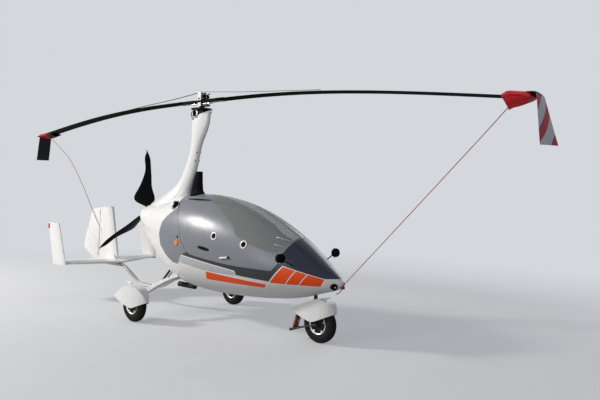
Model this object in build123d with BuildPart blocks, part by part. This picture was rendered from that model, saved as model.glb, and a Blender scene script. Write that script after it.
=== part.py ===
from build123d import *
import os

# Two-seat enclosed gyrocopter, millimetres, standing on its three wheels.
# Origin on the ground below the rotor centre, +X to the nose, +Y to port, +Z up.

os.makedirs("parts", exist_ok=True)

# Clearances
SEAM = 5.0             # gap round the canopy door
FIT = 0.3              # gap at pins, soft parts and seated curved pieces

# Body shell
WALL = 16.0            # sandwich skin of hull, cowl and door
GLASS = 5.0            # acrylic window
BODY_SIDE = 700.0      # half reach of the side-view cutters, wider than the body

# Wheels
TYRE_R = 200.0
TYRE_W = 100.0
RIM_R = 106.0
RIM_W = 84.0
HUB_R = 32.0
HUB_HALF = 30.0        # half the hub's length
AXLE_R = 12.0
AXLE_CAP = 9.0
MAIN_X = -204.0        # main axle
TRACK_HALF = 790.0
NOSE_X = 1965.0        # nose axle
SPOKES = 6
RIM_WINDOW = (19, 17)  # half sizes of the openings between the spokes, along and across

# Spats: crown from tail to front as reach ahead of the axle and height, and the skirt's corner
SPAT_WALL = 5.0
SPAT_TAIL_HALF = 14.0
SPAT_FULL_BACK = 230.0  # behind the axle, where the plan still has four fifths of its width
SPAT_SKIRT_R = 150.0
SPAT_MOUTH = 92.0       # the hollow reaches this far below the skirt, which leaves it open
MAIN_SPAT_HALF = 75.0
MAIN_CROWN = [(-408, 256), (-204, 372), (0, 428), (122, 407), (222, 331), (263, 256)]
MAIN_SKIRT = (20, 165)
NOSE_SPAT_HALF = 88.0
NOSE_CROWN = [(-415, 305), (-215, 386), (-65, 446), (50, 472), (165, 421), (206, 329)]
NOSE_SKIRT = (-53, 217)

# Main gear bow
BOW_CHORD = 100.0
BOW_PLATE = 14.0

# Nose gear
STEER_X = 1900.0
STEER_R = 20.0

# Propeller
PROP_X = -1100.0
PROP_Z = 1237.0
PROP_R = 852.0
PROP_HUB_R = 62.0
PROP_HUB_L = 60.0
PROP_BLADES = 3
PROP_PHASE = 2.0       # degrees, the upper blade leans to starboard
SHAFT_R = 34.0
SPINNER_PCD = 96.0
SPINNER_BOLTS = 6
SPINNER_BOLT_R = 3.3
SPINNER_DEPTH = 14.0

# Rotor
ROTOR_R = 4085.0       # blade tip
ROTOR_CHORD = 200.0
ROTOR_T = 24.0
BLADE_NOSE = 60.0      # from the front edge to the thickest place
HUB_Z = 2665.0         # underside datum of the hub bar
HUB_BAR_T = 28.0
HUB_BAR_HALF = 330.0
MAST_FLOOR_Z = 2480.0  # inside the mast's open top, which the rotor head stands on
RING_R = 126.0
TOWER_TOP_Z = 2778.0
HOIST_R = 7.0          # lifting bore across the teeter tower
HOIST_DROP = 16.0      # its depth below the tower's top

# Tail
TAIL_Z = 512.0
TAIL_HALF = 739.0
FIN_T = 46.0
CENTRE_FIN_HALF = 40.0 # half thickness
THICKEST = 0.3         # share of a section's chord from its nose to its thickest place
RUDDER_T = 60.0
RUDDER_GAP = 6.0
KEEL_R = 23.0
HINGE_LOW = (-2290, 0, 478)     # rudder hinge line
HINGE_HIGH = (-2240, 0, 1300)

# Body stations from nose to tail: x, underside, top, half width, height of the widest point
BODY = [
    (2252, 632, 668, 20, 650),
    (2205, 590, 712, 66, 648),
    (2060, 540, 822, 160, 672),
    (1800, 462, 1010, 275, 715),
    (1400, 395, 1240, 385, 760),
    (900, 358, 1425, 435, 800),
    (350, 352, 1510, 440, 830),
    (-150, 415, 1500, 400, 880),
    (-500, 575, 1440, 335, 1000),
    (-800, 850, 1385, 270, 1130),
    (-940, 1030, 1350, 225, 1205),
    (-1000, 1120, 1310, 165, 1225),
]

# Mast fairing stations from the cowl up: z, rear x, front x, half thickness
MAST = [
    (1340, -960, -300, 190),
    (1440, -800, -250, 130),
    (1570, -530, -190, 78),
    (1680, -395, -140, 58),
    (1810, -300, -80, 52),
    (2100, -181, 5, 48),
    (2300, -170, 110, 52),
    (2480, -165, 165, 52),
    (2560, -160, 215, 50),
]
MAST_SEAM_Z = 1600.0   # joint between the cowl's dorsal flare and the mast fairing
MAST_RIM = [(-180, 2460), (210, 2550)]    # the open top slants up to the front
MAST_WALL = 10.0       # round the open top
BOOT_GAP = 22.0        # between the mast and the fairing that rides on the door

# Cooling scoops: mouth x, centre y and z, width, height, length, depth of the mouth
SCOOP_X = -150.0
SCOOP_Y = 248.0
SCOOP_Z = 1366.0
SCOOP_W = 92.0
SCOOP_H = 116.0
SCOOP_L = 95.0
SCOOP_DEPTH = 24.0
SCOOP_WALL = 12.0

# Door outline seen from the side, rear seam down, sill forward, front seam up
DOOR = [
    (-190, 1620), (-190, 1500), (-30, 1272), (73, 1130), (167, 971), (291, 840), (366, 812),
    (473, 798), (747, 772), (1003, 750), (1313, 741), (1573, 735), (1652, 831), (1661, 900),
    (1705, 1040), (1760, 1620),
]
# Clear window seen from the side
WINDOW = [
    (330, 1620), (330, 1500), (716, 1322), (972, 1179), (1062, 1075), (1217, 1010), (1434, 951),
    (1590, 925), (1640, 940), (1682, 1046), (1730, 1620),
]
# Nose deck ahead of the door and above the hull
NOSE_DECK = [
    (1652, 831), (1700, 803), (2115, 696), (2300, 702), (2300, 1620), (1760, 1620),
    (1705, 1040), (1661, 900),
]
# Engine side panel between the door and the white cowl
SIDE_PANEL = [
    (-190, 1500), (-91, 1345), (-250, 1230), (-312, 1157), (-335, 1020), (-281, 875), (-157, 763),
    (-16, 691), (102, 679), (115, 704), (181, 795), (291, 840), (167, 971), (73, 1130), (-30, 1272),
]
COWL_SEAM_X = 102.0    # joint between hull and aft cowl under the side panel


def ellipse_face(half_width, up, down):
    """Closed outline of two half ellipses that share a width, up and down from its centre."""
    with BuildLine() as outline:
        EllipticalCenterArc((0, 0), half_width, up, 0, arc_size=180)
        EllipticalCenterArc((0, 0), half_width, down, 180, arc_size=180)
    return outline.line


def body_solid(inset):
    """The whole outer body, drawn in by inset all round."""
    with BuildPart() as body:
        for index, (x, low, high, half, wide) in enumerate(BODY):
            if half - inset < WALL / 2:
                continue
            shift = -inset if index == 1 else inset if index == len(BODY) - 1 else 0
            place = Plane(origin=(x + shift * (inset > 0), 0, wide), x_dir=(0, 1, 0), z_dir=(1, 0, 0))
            with BuildSketch(place):
                add(ellipse_face(half - inset, high - wide - inset, wide - low - inset))
                make_face()
        loft()
    return body.part


def side_zone(points, half=BODY_SIDE, inset=0.0, centre=0.0):
    """A prism whose side view is the outline, across the body."""
    with BuildPart() as zone:
        with BuildSketch(Plane.XZ.offset(-centre)):
            with BuildLine():
                Polyline(*points, close=True)
            make_face()
            if inset:
                offset(amount=-inset, kind=Kind.INTERSECTION)
        extrude(amount=half, both=True)
    return zone.part


def rod(start, end, radius):
    """A round bar between two points."""
    run = Vector(*end) - Vector(*start)
    with BuildPart() as bar:
        with BuildSketch(Plane(origin=start, z_dir=run)):
            Circle(radius)
        extrude(amount=run.length)
    return bar.part


def finish(builder, name):
    """Label a finished piece and write it."""
    builder.part.label = name
    export_step(builder.part, f"parts/{name}.step")


# Body shells shared by the panels
OUTER = body_solid(0)
INNER = body_solid(WALL)
GLASS_INNER = body_solid(GLASS)
LINER = body_solid(WALL + FIT)    # space that pieces seated on the shell may fill

with BuildPart() as skin:
    add(OUTER)
    add(INNER, mode=Mode.SUBTRACT)

with BuildPart() as mast_form:
    for z, rear, front, half in MAST:
        place = Plane(origin=((rear + front) / 2, 0, z))
        with BuildSketch(place):
            Ellipse((front - rear) / 2, half)
    loft()

# Main gear bow: a flat spring arched across the body, with end plates for the axles
BOW_TOP = 496.0
BOW_END_Y = TRACK_HALF - MAIN_SPAT_HALF
BOW_END_Z = 300.0
BOW_ROOT_T = 40.0
BOW_TIP_T = 24.0


def bow_outline(grow=0.0):
    """Front view of the bow, thicker at its root than at its ends."""
    end = BOW_END_Y + grow
    with BuildLine() as outline:
        top = ThreePointArc((-end, BOW_END_Z + grow), (0, BOW_TOP + grow), (end, BOW_END_Z + grow))
        low = ThreePointArc((end, BOW_END_Z - BOW_TIP_T - grow), (0, BOW_TOP - BOW_ROOT_T - grow),
                            (-end, BOW_END_Z - BOW_TIP_T - grow))
        Line(top @ 1, low @ 0)
        Line(low @ 1, top @ 0)
    return outline.line


def bow_solid(grow=0.0):
    """The bow's solid, or the slot that it passes through when grown."""
    with BuildPart() as bow:
        with BuildSketch(Plane.YZ.offset(MAIN_X)):
            add(bow_outline(grow))
            make_face()
        extrude(amount=BOW_CHORD / 2 + grow, both=True)
    return bow.part


with BuildPart() as gear_bow:
    add(bow_solid())
    for side in (-1, 1):
        # axle plate hanging from the bow's end
        with BuildSketch(Plane.XZ.offset(-side * BOW_END_Y)):
            with Locations((MAIN_X, (BOW_END_Z + TYRE_R - 40) / 2)):
                RectangleRounded(80, BOW_END_Z - TYRE_R + 40, 12)
        extrude(amount=side * BOW_PLATE)
        # stub axle through the wheel's hub, with its end cap
        hub_end = TRACK_HALF + HUB_HALF + FIT
        add(rod((MAIN_X, side * BOW_END_Y, TYRE_R), (MAIN_X, side * hub_end, TYRE_R), AXLE_R))
        add(rod((MAIN_X, side * hub_end, TYRE_R), (MAIN_X, side * (hub_end + AXLE_CAP), TYRE_R), AXLE_R + 8))
finish(gear_bow, "gear_bow")
BOW_SLOT = bow_solid(FIT)

# Keel tube: down from the cowl, level under the propeller, up to the tail
KEEL_TAIL_Z = TAIL_Z - 50.0
KEEL_PATH = [
    (-230, 0, 500), (-470, 0, 400), (-722, 0, 278), (-960, 0, 238), (-1225, 0, 242),
    (-1650, 0, KEEL_TAIL_Z), (-2200, 0, KEEL_TAIL_Z),
]
KEEL_BENDS = [400, 500, 600, 260, 260]


def keel_solid(radius):
    """The bent tube, solid, at a radius."""
    with BuildPart() as tube:
        with BuildLine() as path:
            FilletPolyline(*KEEL_PATH, radius=KEEL_BENDS)
        with BuildSketch(Plane(origin=path.line @ 0, z_dir=path.line % 0)):
            Circle(radius)
        sweep(path=path.line)
    return tube.part


with BuildPart() as keel_tube:
    add(keel_solid(KEEL_R))
    add(OUTER, mode=Mode.SUBTRACT)
KEEL = keel_tube.part
finish(keel_tube, "keel_tube")

# Door hinges on the port sill: hull and door each carry a bored knuckle, and the door's has the pin
DOOR_HINGE_Y = 453.0
DOOR_HINGE_Z = 780.0
DOOR_HINGES = [560, 840]
KNUCKLE_R = 8.0
KNUCKLE_L = 30.0
DOOR_PIN_R = 4.0
# arms from the skin to the knuckle, seen from the front
HULL_ARM = [(430, 735), (438, 735), (459, 772), (449, 784), (443, 776)]
DOOR_ARM = [(434, 812), (434, 842), (443, 838), (461, 784), (450, 775), (444, 792)]


def knuckle(x, arm):
    """A knuckle of the door hinge with its arm, forward of x."""
    with BuildPart() as piece:
        add(rod((x, DOOR_HINGE_Y, DOOR_HINGE_Z), (x + KNUCKLE_L, DOOR_HINGE_Y, DOOR_HINGE_Z), KNUCKLE_R))
        with BuildSketch(Plane.YZ.offset(x)):
            with BuildLine():
                Polyline(*arm, close=True)
            make_face()
        extrude(amount=KNUCKLE_L)
    return piece.part


# Hull: the tub under the door, from the nose tip to the cowl joint
with BuildPart() as hull:
    add(skin.part)
    add(side_zone(DOOR), mode=Mode.SUBTRACT)
    add(side_zone(NOSE_DECK), mode=Mode.SUBTRACT)
    add(side_zone(SIDE_PANEL), mode=Mode.SUBTRACT)
    add(side_zone([(COWL_SEAM_X, 200), (COWL_SEAM_X, 1700), (-1200, 1700), (-1200, 200)]),
        mode=Mode.SUBTRACT)
    for x in DOOR_HINGES:
        add(knuckle(x, HULL_ARM))
        add(rod((x - 1, DOOR_HINGE_Y, DOOR_HINGE_Z), (x + KNUCKLE_L + 1, DOOR_HINGE_Y, DOOR_HINGE_Z),
                DOOR_PIN_R + FIT), mode=Mode.SUBTRACT)
    # steering head bore
    with Locations((STEER_X, 0, 480)):
        Cylinder(STEER_R + FIT, 200, mode=Mode.SUBTRACT)
finish(hull, "hull")

with BuildPart() as nose_deck:
    add(skin.part)
    add(side_zone(NOSE_DECK), mode=Mode.INTERSECT)
finish(nose_deck, "nose_deck")

# Door shell, then the window cut from it and glazed
with BuildPart() as canopy_frame:
    add(skin.part)
    add(side_zone(DOOR, inset=SEAM), mode=Mode.INTERSECT)
    add(side_zone(WINDOW), mode=Mode.SUBTRACT)
    for x in DOOR_HINGES:
        add(knuckle(x + KNUCKLE_L + FIT, DOOR_ARM))
        add(rod((x, DOOR_HINGE_Y, DOOR_HINGE_Z), (x + KNUCKLE_L + 2 * FIT, DOOR_HINGE_Y, DOOR_HINGE_Z), DOOR_PIN_R))
finish(canopy_frame, "canopy_frame")

with BuildPart() as canopy_glass:
    add(OUTER)
    add(GLASS_INNER, mode=Mode.SUBTRACT)
    add(side_zone(WINDOW), mode=Mode.INTERSECT)
    add(side_zone(DOOR, inset=SEAM), mode=Mode.INTERSECT)
finish(canopy_glass, "canopy_glass")

# Grey panels beside the engine, one a side
for side, name in ((1, "engine_panel_left"), (-1, "engine_panel_right")):
    with BuildPart() as engine_panel:
        add(skin.part)
        add(side_zone(SIDE_PANEL, half=BODY_SIDE / 2, centre=side * BODY_SIDE / 2),
            mode=Mode.INTERSECT)
    finish(engine_panel, name)

# Aft cowl with the dorsal flare that grows into the mast, and cooling scoops on its shoulders
with BuildPart() as scoops:
    for side in (-1, 1):
        with BuildSketch(Plane.YZ.offset(SCOOP_X - SCOOP_L)):
            with Locations((side * (SCOOP_Y - 10), SCOOP_Z)):
                RectangleRounded(SCOOP_W - 20, SCOOP_H - 24, 20)
        with BuildSketch(Plane.YZ.offset(SCOOP_X)):
            with Locations((side * SCOOP_Y, SCOOP_Z)):
                RectangleRounded(SCOOP_W, SCOOP_H, 20)
        loft()
with BuildPart() as aft_cowl:
    add(OUTER)
    add(mast_form.part)
    add(scoops.part)
    add(side_zone([(COWL_SEAM_X, 200), (COWL_SEAM_X, MAST_SEAM_Z), (-1200, MAST_SEAM_Z),
                   (-1200, 200)]), mode=Mode.INTERSECT)
    add(INNER, mode=Mode.SUBTRACT)
    add(side_zone(SIDE_PANEL), mode=Mode.SUBTRACT)
    add(side_zone(DOOR), mode=Mode.SUBTRACT)
    add(BOW_SLOT, mode=Mode.SUBTRACT)
    # dark mouths of the scoops
    with BuildSketch(Plane.YZ.offset(SCOOP_X)):
        with Locations((SCOOP_Y, SCOOP_Z), (-SCOOP_Y, SCOOP_Z)):
            RectangleRounded(SCOOP_W - 2 * SCOOP_WALL, SCOOP_H - 2 * SCOOP_WALL, 10)
    extrude(amount=-SCOOP_DEPTH, mode=Mode.SUBTRACT)
    # outlet round the propeller shaft
    with Locations(Plane(origin=(BODY[-1][0], 0, PROP_Z), z_dir=(1, 0, 0))):
        Cylinder(SHAFT_R + 8, 200, mode=Mode.SUBTRACT)
finish(aft_cowl, "aft_cowl")

(rim_rear_x, rim_rear_z), (rim_front_x, rim_front_z) = MAST_RIM
rim_slope = (rim_front_z - rim_rear_z) / (rim_front_x - rim_rear_x)
with BuildPart() as mast_fairing:
    add(mast_form.part)
    # from the joint with the cowl up to the slanted rim
    far_rear, far_front = rim_rear_x - BODY_SIDE, rim_front_x + BODY_SIDE
    add(side_zone([(far_rear, MAST_SEAM_Z), (far_front, MAST_SEAM_Z),
                   (far_front, rim_front_z + BODY_SIDE * rim_slope),
                   (far_rear, rim_rear_z - BODY_SIDE * rim_slope)]), mode=Mode.INTERSECT)
    # the pocket that the rotor head stands in
    for z, rear, front, half in MAST[-2:]:
        with BuildSketch(Plane(origin=((rear + front) / 2, 0, z))):
            Ellipse((front - rear) / 2 - MAST_WALL, half - MAST_WALL)
    loft(mode=Mode.SUBTRACT)
finish(mast_fairing, "mast_fairing")

# Flared fairing on the door's roof, ahead of the mast: z, front x, half thickness
BOOT = [(1470, 200, 135), (1495, 190, 110), (1520, 75, 62), (1560, 45, 50), (1660, 36, 42), (1795, 30, 34)]
BOOT_REAR_X = -160.0


def mast_front(z):
    """Front edge of the mast at a height, straight between its stations."""
    for (low_z, _, low_x, _), (high_z, _, high_x, _) in zip(MAST, MAST[1:]):
        if low_z <= z <= high_z:
            return low_x + (high_x - low_x) * (z - low_z) / (high_z - low_z)


with BuildPart() as mast_boot:
    for z, front, half in BOOT:
        rear = max(BOOT_REAR_X, mast_front(z) + BOOT_GAP)
        with BuildSketch(Plane(origin=((rear + front) / 2, 0, z))):
            Ellipse((front - rear) / 2, half)
    loft(ruled=True)
    add(OUTER, mode=Mode.SUBTRACT)
finish(mast_boot, "mast_boot")

# Inner tub: rear bulkhead, seated on hull and side panels and clear of the door above, and floor
BULKHEAD_X = 60.0
BULKHEAD_T = 12.0
BULKHEAD_SPLIT_Z = 1040.0
BULKHEAD_SWING_R = 880.0    # from the door hinge, inside the path of the door's rear corner
FLOOR_Z = 402.0
FLOOR_END_X = 1640.0
with BuildPart() as bulkhead_top:
    add(body_solid(WALL + SEAM + 1))
    add(side_zone([(BULKHEAD_X, BULKHEAD_SPLIT_Z), (BULKHEAD_X + BULKHEAD_T, BULKHEAD_SPLIT_Z),
                   (BULKHEAD_X + BULKHEAD_T, 1550), (BULKHEAD_X, 1550)]), mode=Mode.INTERSECT)
    # the door's rear corner swings past the starboard shoulder
    add(rod((BULKHEAD_X - 1, DOOR_HINGE_Y, DOOR_HINGE_Z), (BULKHEAD_X + BULKHEAD_T + 1, DOOR_HINGE_Y, DOOR_HINGE_Z),
            BULKHEAD_SWING_R), mode=Mode.INTERSECT)
with BuildPart() as cabin_tub:
    add(LINER)
    add(side_zone([(BULKHEAD_X, 300), (BULKHEAD_X, BULKHEAD_SPLIT_Z), (BULKHEAD_X + BULKHEAD_T, BULKHEAD_SPLIT_Z),
                   (BULKHEAD_X + BULKHEAD_T, FLOOR_Z), (FLOOR_END_X, FLOOR_Z), (FLOOR_END_X, 300)]),
        mode=Mode.INTERSECT)
    add(bulkhead_top.part)
finish(cabin_tub, "cabin_tub")

# Engine as one block on two bearers, with its gearbox nose at the propeller
ENGINE_L = 500.0
ENGINE_W = 370.0
ENGINE_H = 360.0
ENGINE_X = -440.0
ENGINE_Z = 1080.0
ENGINE_ROUND = 40.0
BEARER_Y = 120.0
BEARER = (40, 50)
with BuildPart() as engine_block:
    with Locations((ENGINE_X, 0, ENGINE_Z)):
        Box(ENGINE_L, ENGINE_W, ENGINE_H)
    fillet(engine_block.edges().filter_by(Axis.X), ENGINE_ROUND)
    gearbox_end = PROP_X + PROP_HUB_L / 2
    with BuildSketch(Plane(origin=(gearbox_end, 0, PROP_Z), z_dir=(1, 0, 0))):
        Circle(SHAFT_R)
    extrude(amount=ENGINE_X - gearbox_end)
    # bearers forward to the bulkhead
    with BuildSketch(Plane.YZ.offset(BULKHEAD_X)):
        with Locations((-BEARER_Y, ENGINE_Z - ENGINE_H / 4), (BEARER_Y, ENGINE_Z - ENGINE_H / 4)):
            Rectangle(*BEARER)
    extrude(amount=ENGINE_X - BULKHEAD_X)
finish(engine_block, "engine_block")

# Exhaust under the belly
EXHAUST_FROM_X = -245.0
EXHAUST_TO_X = 60.0
EXHAUST_Y = -100.0
EXHAUST_Z = 372.0
EXHAUST_R = 33.0
EXHAUST_WALL = 5.0
EXHAUST_DEPTH = 45.0
with BuildPart() as exhaust:
    add(rod((EXHAUST_FROM_X, EXHAUST_Y, EXHAUST_Z), (EXHAUST_TO_X, EXHAUST_Y, EXHAUST_Z), EXHAUST_R))
    add(rod((EXHAUST_FROM_X - EXHAUST_WALL, EXHAUST_Y, EXHAUST_Z),
            (EXHAUST_FROM_X + EXHAUST_DEPTH, EXHAUST_Y, EXHAUST_Z), EXHAUST_R - EXHAUST_WALL), mode=Mode.SUBTRACT)
    add(OUTER, mode=Mode.SUBTRACT)
finish(exhaust, "exhaust")

# Struts from keel to cowl: a thick one and a slim tube behind it; ends x, z and radius
STRUTS = [(-816, 262, -500, 580, 15), (-762, 262, -455, 560, 8)]
with BuildPart() as keel_struts:
    for low_x, low_z, high_x, high_z, radius in STRUTS:
        add(rod((low_x, 0, low_z), (high_x, 0, high_z), radius))
    add(KEEL, mode=Mode.SUBTRACT)
    add(OUTER, mode=Mode.SUBTRACT)
finish(keel_struts, "keel_struts")

# Seats: moulded shells with cushions in them; x of the back's foot, seat height
SEATS = [(860, 470), (230, 560)]
SEAT_HALF = 205.0
SEAT_T = 12.0
SEAT_L = 430.0
SEAT_RISE = 60.0       # of the seat towards its front
SEAT_RISER = 300.0     # foot of the front riser, ahead of the back's foot
BACK_LEAN = 120.0
BACK_H = 560.0
CUSHION_T = 55.0
CUSHION_INSET = 10.0
with BuildPart() as seat_shells:
    for foot_x, seat_z in SEATS:
        with BuildSketch(Plane.XZ):
            with BuildLine():
                Polyline((foot_x + SEAT_L, seat_z + SEAT_RISE), (foot_x, seat_z),
                         (foot_x - BACK_LEAN, seat_z + BACK_H), (foot_x - BACK_LEAN - SEAT_T, seat_z + BACK_H),
                         (foot_x - SEAT_T, seat_z - SEAT_T), (foot_x, FLOOR_Z),
                         (foot_x + SEAT_RISER, FLOOR_Z), (foot_x + SEAT_L, seat_z + SEAT_RISE - SEAT_T),
                         close=True)
            make_face()
            # hollow under the pan, between its front and rear risers
            with BuildLine():
                Polyline((foot_x + SEAT_T, FLOOR_Z), (foot_x + SEAT_T, seat_z - SEAT_T),
                         (foot_x + SEAT_L - 4 * SEAT_T, seat_z + SEAT_RISE - 2.5 * SEAT_T),
                         (foot_x + SEAT_RISER - SEAT_T, FLOOR_Z), close=True)
            make_face(mode=Mode.SUBTRACT)
        extrude(amount=SEAT_HALF, both=True)
    add(LINER, mode=Mode.INTERSECT)
finish(seat_shells, "seat_shells")


def seat_top(reach):
    """Height of the seat above its foot at a reach forward."""
    return SEAT_RISE * reach / SEAT_L


with BuildPart() as seat_cushions:
    for foot_x, seat_z in SEATS:
        start = CUSHION_T + CUSHION_INSET
        end = SEAT_L - CUSHION_INSET
        with BuildSketch(Plane.XZ):
            with BuildLine():
                Polyline((foot_x + end, seat_z + seat_top(end) + FIT),
                         (foot_x + start, seat_z + seat_top(start) + FIT),
                         (foot_x + start, seat_z + seat_top(start) + CUSHION_T),
                         (foot_x + end, seat_z + seat_top(end) + CUSHION_T), close=True)
            make_face()
        extrude(amount=SEAT_HALF - CUSHION_INSET, both=True)
finish(seat_cushions, "seat_cushions")

with BuildPart() as back_cushions:
    for foot_x, seat_z in SEATS:
        low = SEAT_RISE
        high = BACK_H - CUSHION_INSET
        low_x = foot_x - BACK_LEAN * low / BACK_H + FIT
        high_x = foot_x - BACK_LEAN * high / BACK_H + FIT
        with BuildSketch(Plane.XZ):
            with BuildLine():
                Polyline((low_x, seat_z + low), (low_x + CUSHION_T, seat_z + low),
                         (high_x + CUSHION_T, seat_z + high), (high_x, seat_z + high), close=True)
            make_face()
        extrude(amount=SEAT_HALF - CUSHION_INSET, both=True)
finish(back_cushions, "back_cushions")

# Instrument pod on its pedestal, its side view and half width
POD = [(1500, 800), (1560, 960), (1640, 940), (1660, 820), (1600, 780)]
POD_HALF = 170.0
PEDESTAL = (60, 90)
with BuildPart() as instrument_panel:
    with BuildSketch(Plane.XZ):
        with BuildLine():
            Polyline(*POD, close=True)
        make_face()
    extrude(amount=POD_HALF, both=True)
    pod_foot_x, pod_foot_z = POD[-1]
    with Locations((pod_foot_x, 0, FLOOR_Z)):
        Box(*PEDESTAL, pod_foot_z + 20 - FLOOR_Z, align=(Align.CENTER, Align.CENTER, Align.MIN))
    add(LINER, mode=Mode.INTERSECT)
finish(instrument_panel, "instrument_panel")

# Stick ahead of each seat: reach of its base from the back's foot, then of the stick's top and of
# the grip's ends, with their heights above the seat
STICK_BASE = 520.0
STICK_SOCKET = (60, 60, 20)
STICK_TOP = (440, 280)
GRIP_ENDS = [(447, 262), (430, 315)]
STICK_R = 11.0
GRIP_R = 17.0
with BuildPart() as control_sticks:
    for foot_x, seat_z in SEATS:
        with Locations((foot_x + STICK_BASE, 0, FLOOR_Z)):
            Box(*STICK_SOCKET, align=(Align.CENTER, Align.CENTER, Align.MIN))
        add(rod((foot_x + STICK_BASE, 0, FLOOR_Z + STICK_SOCKET[2] - 7),
                (foot_x + STICK_TOP[0], 0, seat_z + STICK_TOP[1]), STICK_R))
        low, high = [(foot_x + reach, 0, seat_z + rise) for reach, rise in GRIP_ENDS]
        add(rod(low, high, GRIP_R))
    add(LINER, mode=Mode.INTERSECT)
finish(control_sticks, "control_sticks")

# Landing lights either side of the nose tip: rear end, lens centre
LIGHT_REAR = (2120, 40, 632)
LIGHT_LENS = (2206, 76, 618)
LIGHT_R = 34.0
with BuildPart() as nose_lights:
    for side in (-1, 1):
        add(rod(*[(x, side * y, z) for x, y, z in (LIGHT_REAR, LIGHT_LENS)], LIGHT_R))
    add(OUTER, mode=Mode.SUBTRACT)
finish(nose_lights, "nose_lights")

# Mirrors on thin arms: the arm's foot in the deck, its end in the mirror
MIRROR_FOOT = (1790, 240, 805)
MIRROR_HEAD = (1800, 455, 900)
MIRROR_ARM_R = 6.0
MIRROR = (48, 62)
MIRROR_T = 26.0
with BuildPart() as mirrors:
    for side in (-1, 1):
        foot, head = [(x, side * y, z) for x, y, z in (MIRROR_FOOT, MIRROR_HEAD)]
        add(rod(foot, head, MIRROR_ARM_R))
        with BuildSketch(Plane(origin=(head[0] - MIRROR_T / 2 + 1, head[1], head[2]), z_dir=(1, 0, 0.1))):
            Ellipse(*MIRROR)
        extrude(amount=MIRROR_T)
    add(OUTER, mode=Mode.SUBTRACT)
finish(mirrors, "mirrors")


# Wheels
# Tyre section: bead, wall and shoulder as inset from its full width and height over the rim
TYRE_SECTION = [(2, 22), (0, 44), (10, 70)]
RIM_LIP = 8.0          # thickness of the rim's edge
RIM_SLOPE = (14, 16)   # from the edge inward, and how deep it ends
WEB_HALF = 8.0
WEB_DEPTH = 22.0       # where the web meets the barrel, below the tyre's seat
HUB_FLARE = 6.0


def across(point):
    """The same point of a section on its other side."""
    return -point[0], point[1]


def tyre_solid(x, y):
    """A rounded balloon tyre seated on its rim, axis across the machine."""
    bead, wall, shoulder = [(TYRE_W / 2 - inset, RIM_R + rise) for inset, rise in TYRE_SECTION]
    seat = (RIM_W / 2, RIM_R)
    with BuildPart() as tyre:
        with BuildSketch(Plane(origin=(x, y, TYRE_R), x_dir=(0, 1, 0), z_dir=(-1, 0, 0))):
            with BuildLine():
                Polyline(across(seat), seat, bead)
                ThreePointArc(bead, wall, shoulder)
                ThreePointArc(shoulder, (0, TYRE_R), across(shoulder))
                ThreePointArc(across(shoulder), across(wall), across(bead))
                Line(across(bead), across(seat))
            make_face()
        revolve(axis=Axis((x, y, TYRE_R), (0, 1, 0)))
    return tyre.part


def rim_solid(x, y):
    """A cast rim: barrel with two flanges, spoked web and bored hub."""
    with BuildPart() as rim:
        place = Plane(origin=(x, y, TYRE_R), x_dir=(0, 1, 0), z_dir=(-1, 0, 0))
        with BuildSketch(place):
            with BuildLine():
                half = RIM_W / 2
                outer = [(half, RIM_R), (half, RIM_R - RIM_LIP), (half - RIM_SLOPE[0], RIM_R - RIM_SLOPE[1]),
                         (WEB_HALF, RIM_R - WEB_DEPTH), (WEB_HALF, HUB_R + HUB_FLARE), (HUB_HALF, HUB_R),
                         (HUB_HALF, AXLE_R + FIT)]
                Polyline(*outer, *[across(point) for point in reversed(outer)], close=True)
            make_face()
        revolve(axis=Axis((x, y, TYRE_R), (0, 1, 0)))
        with BuildSketch(Plane(origin=(x, y, TYRE_R), x_dir=(1, 0, 0), z_dir=(0, -1, 0))):
            with PolarLocations((HUB_R + RIM_R - 12) / 2, SPOKES):
                Ellipse(*RIM_WINDOW)
        extrude(amount=20, both=True, mode=Mode.SUBTRACT)
    return rim.part


for name, x, y in (("nose", NOSE_X, 0), ("left", MAIN_X, TRACK_HALF), ("right", MAIN_X, -TRACK_HALF)):
    with BuildPart() as tyre:
        add(tyre_solid(x, y))
    finish(tyre, f"tyre_{name}")
    with BuildPart() as rim:
        add(rim_solid(x, y))
    finish(rim, f"rim_{name}")


def spat_form(x, y, half, crown, skirt, inset=0.0, drop=0.0):
    """The spat's teardrop, drawn in by inset, with the corner of its skirt lowered by drop."""
    tail, front = crown[0][0] + 3 * inset, crown[-1][0] - inset
    tail_y = SPAT_TAIL_HALF - inset
    full_y = 0.8 * half - inset
    with BuildPart() as plan:
        with BuildSketch(Plane.XY):
            with BuildLine():
                nose = EllipticalCenterArc((x, y), front, half - inset, 270, arc_size=180)
                left = ThreePointArc(nose @ 1, (x - SPAT_FULL_BACK, y + full_y), (x + tail, y + tail_y))
                right = ThreePointArc(nose @ 0, (x - SPAT_FULL_BACK, y - full_y), (x + tail, y - tail_y))
                Line(left @ 1, right @ 1)
            make_face()
        extrude(amount=3 * TYRE_R)
    crown_line = []
    for reach, z in crown:
        shrink = 1 - inset / (reach ** 2 + (z - TYRE_R) ** 2) ** 0.5
        crown_line.append((x + max(tail, reach * shrink), TYRE_R + (z - TYRE_R) * shrink))
    with BuildPart() as form:
        with BuildSketch(Plane.XZ.offset(-y)):
            with BuildLine():
                top = Spline(*crown_line)
                FilletPolyline(top @ 1, (x + skirt[0], skirt[1] - drop), top @ 0, radius=SPAT_SKIRT_R)
            make_face()
        extrude(amount=half - inset, both=True)
        add(plan.part, mode=Mode.INTERSECT)
    return form.part


def spat_solid(x, y, half, crown, skirt, bore):
    """A teardrop wheel fairing, pointed tail, open underneath, with one bore cut in it."""
    with BuildPart() as spat:
        add(spat_form(x, y, half, crown, skirt))
        add(spat_form(x, y, half, crown, skirt, SPAT_WALL, SPAT_MOUTH), mode=Mode.SUBTRACT)
        add(bore, mode=Mode.SUBTRACT)
    return spat


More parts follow.
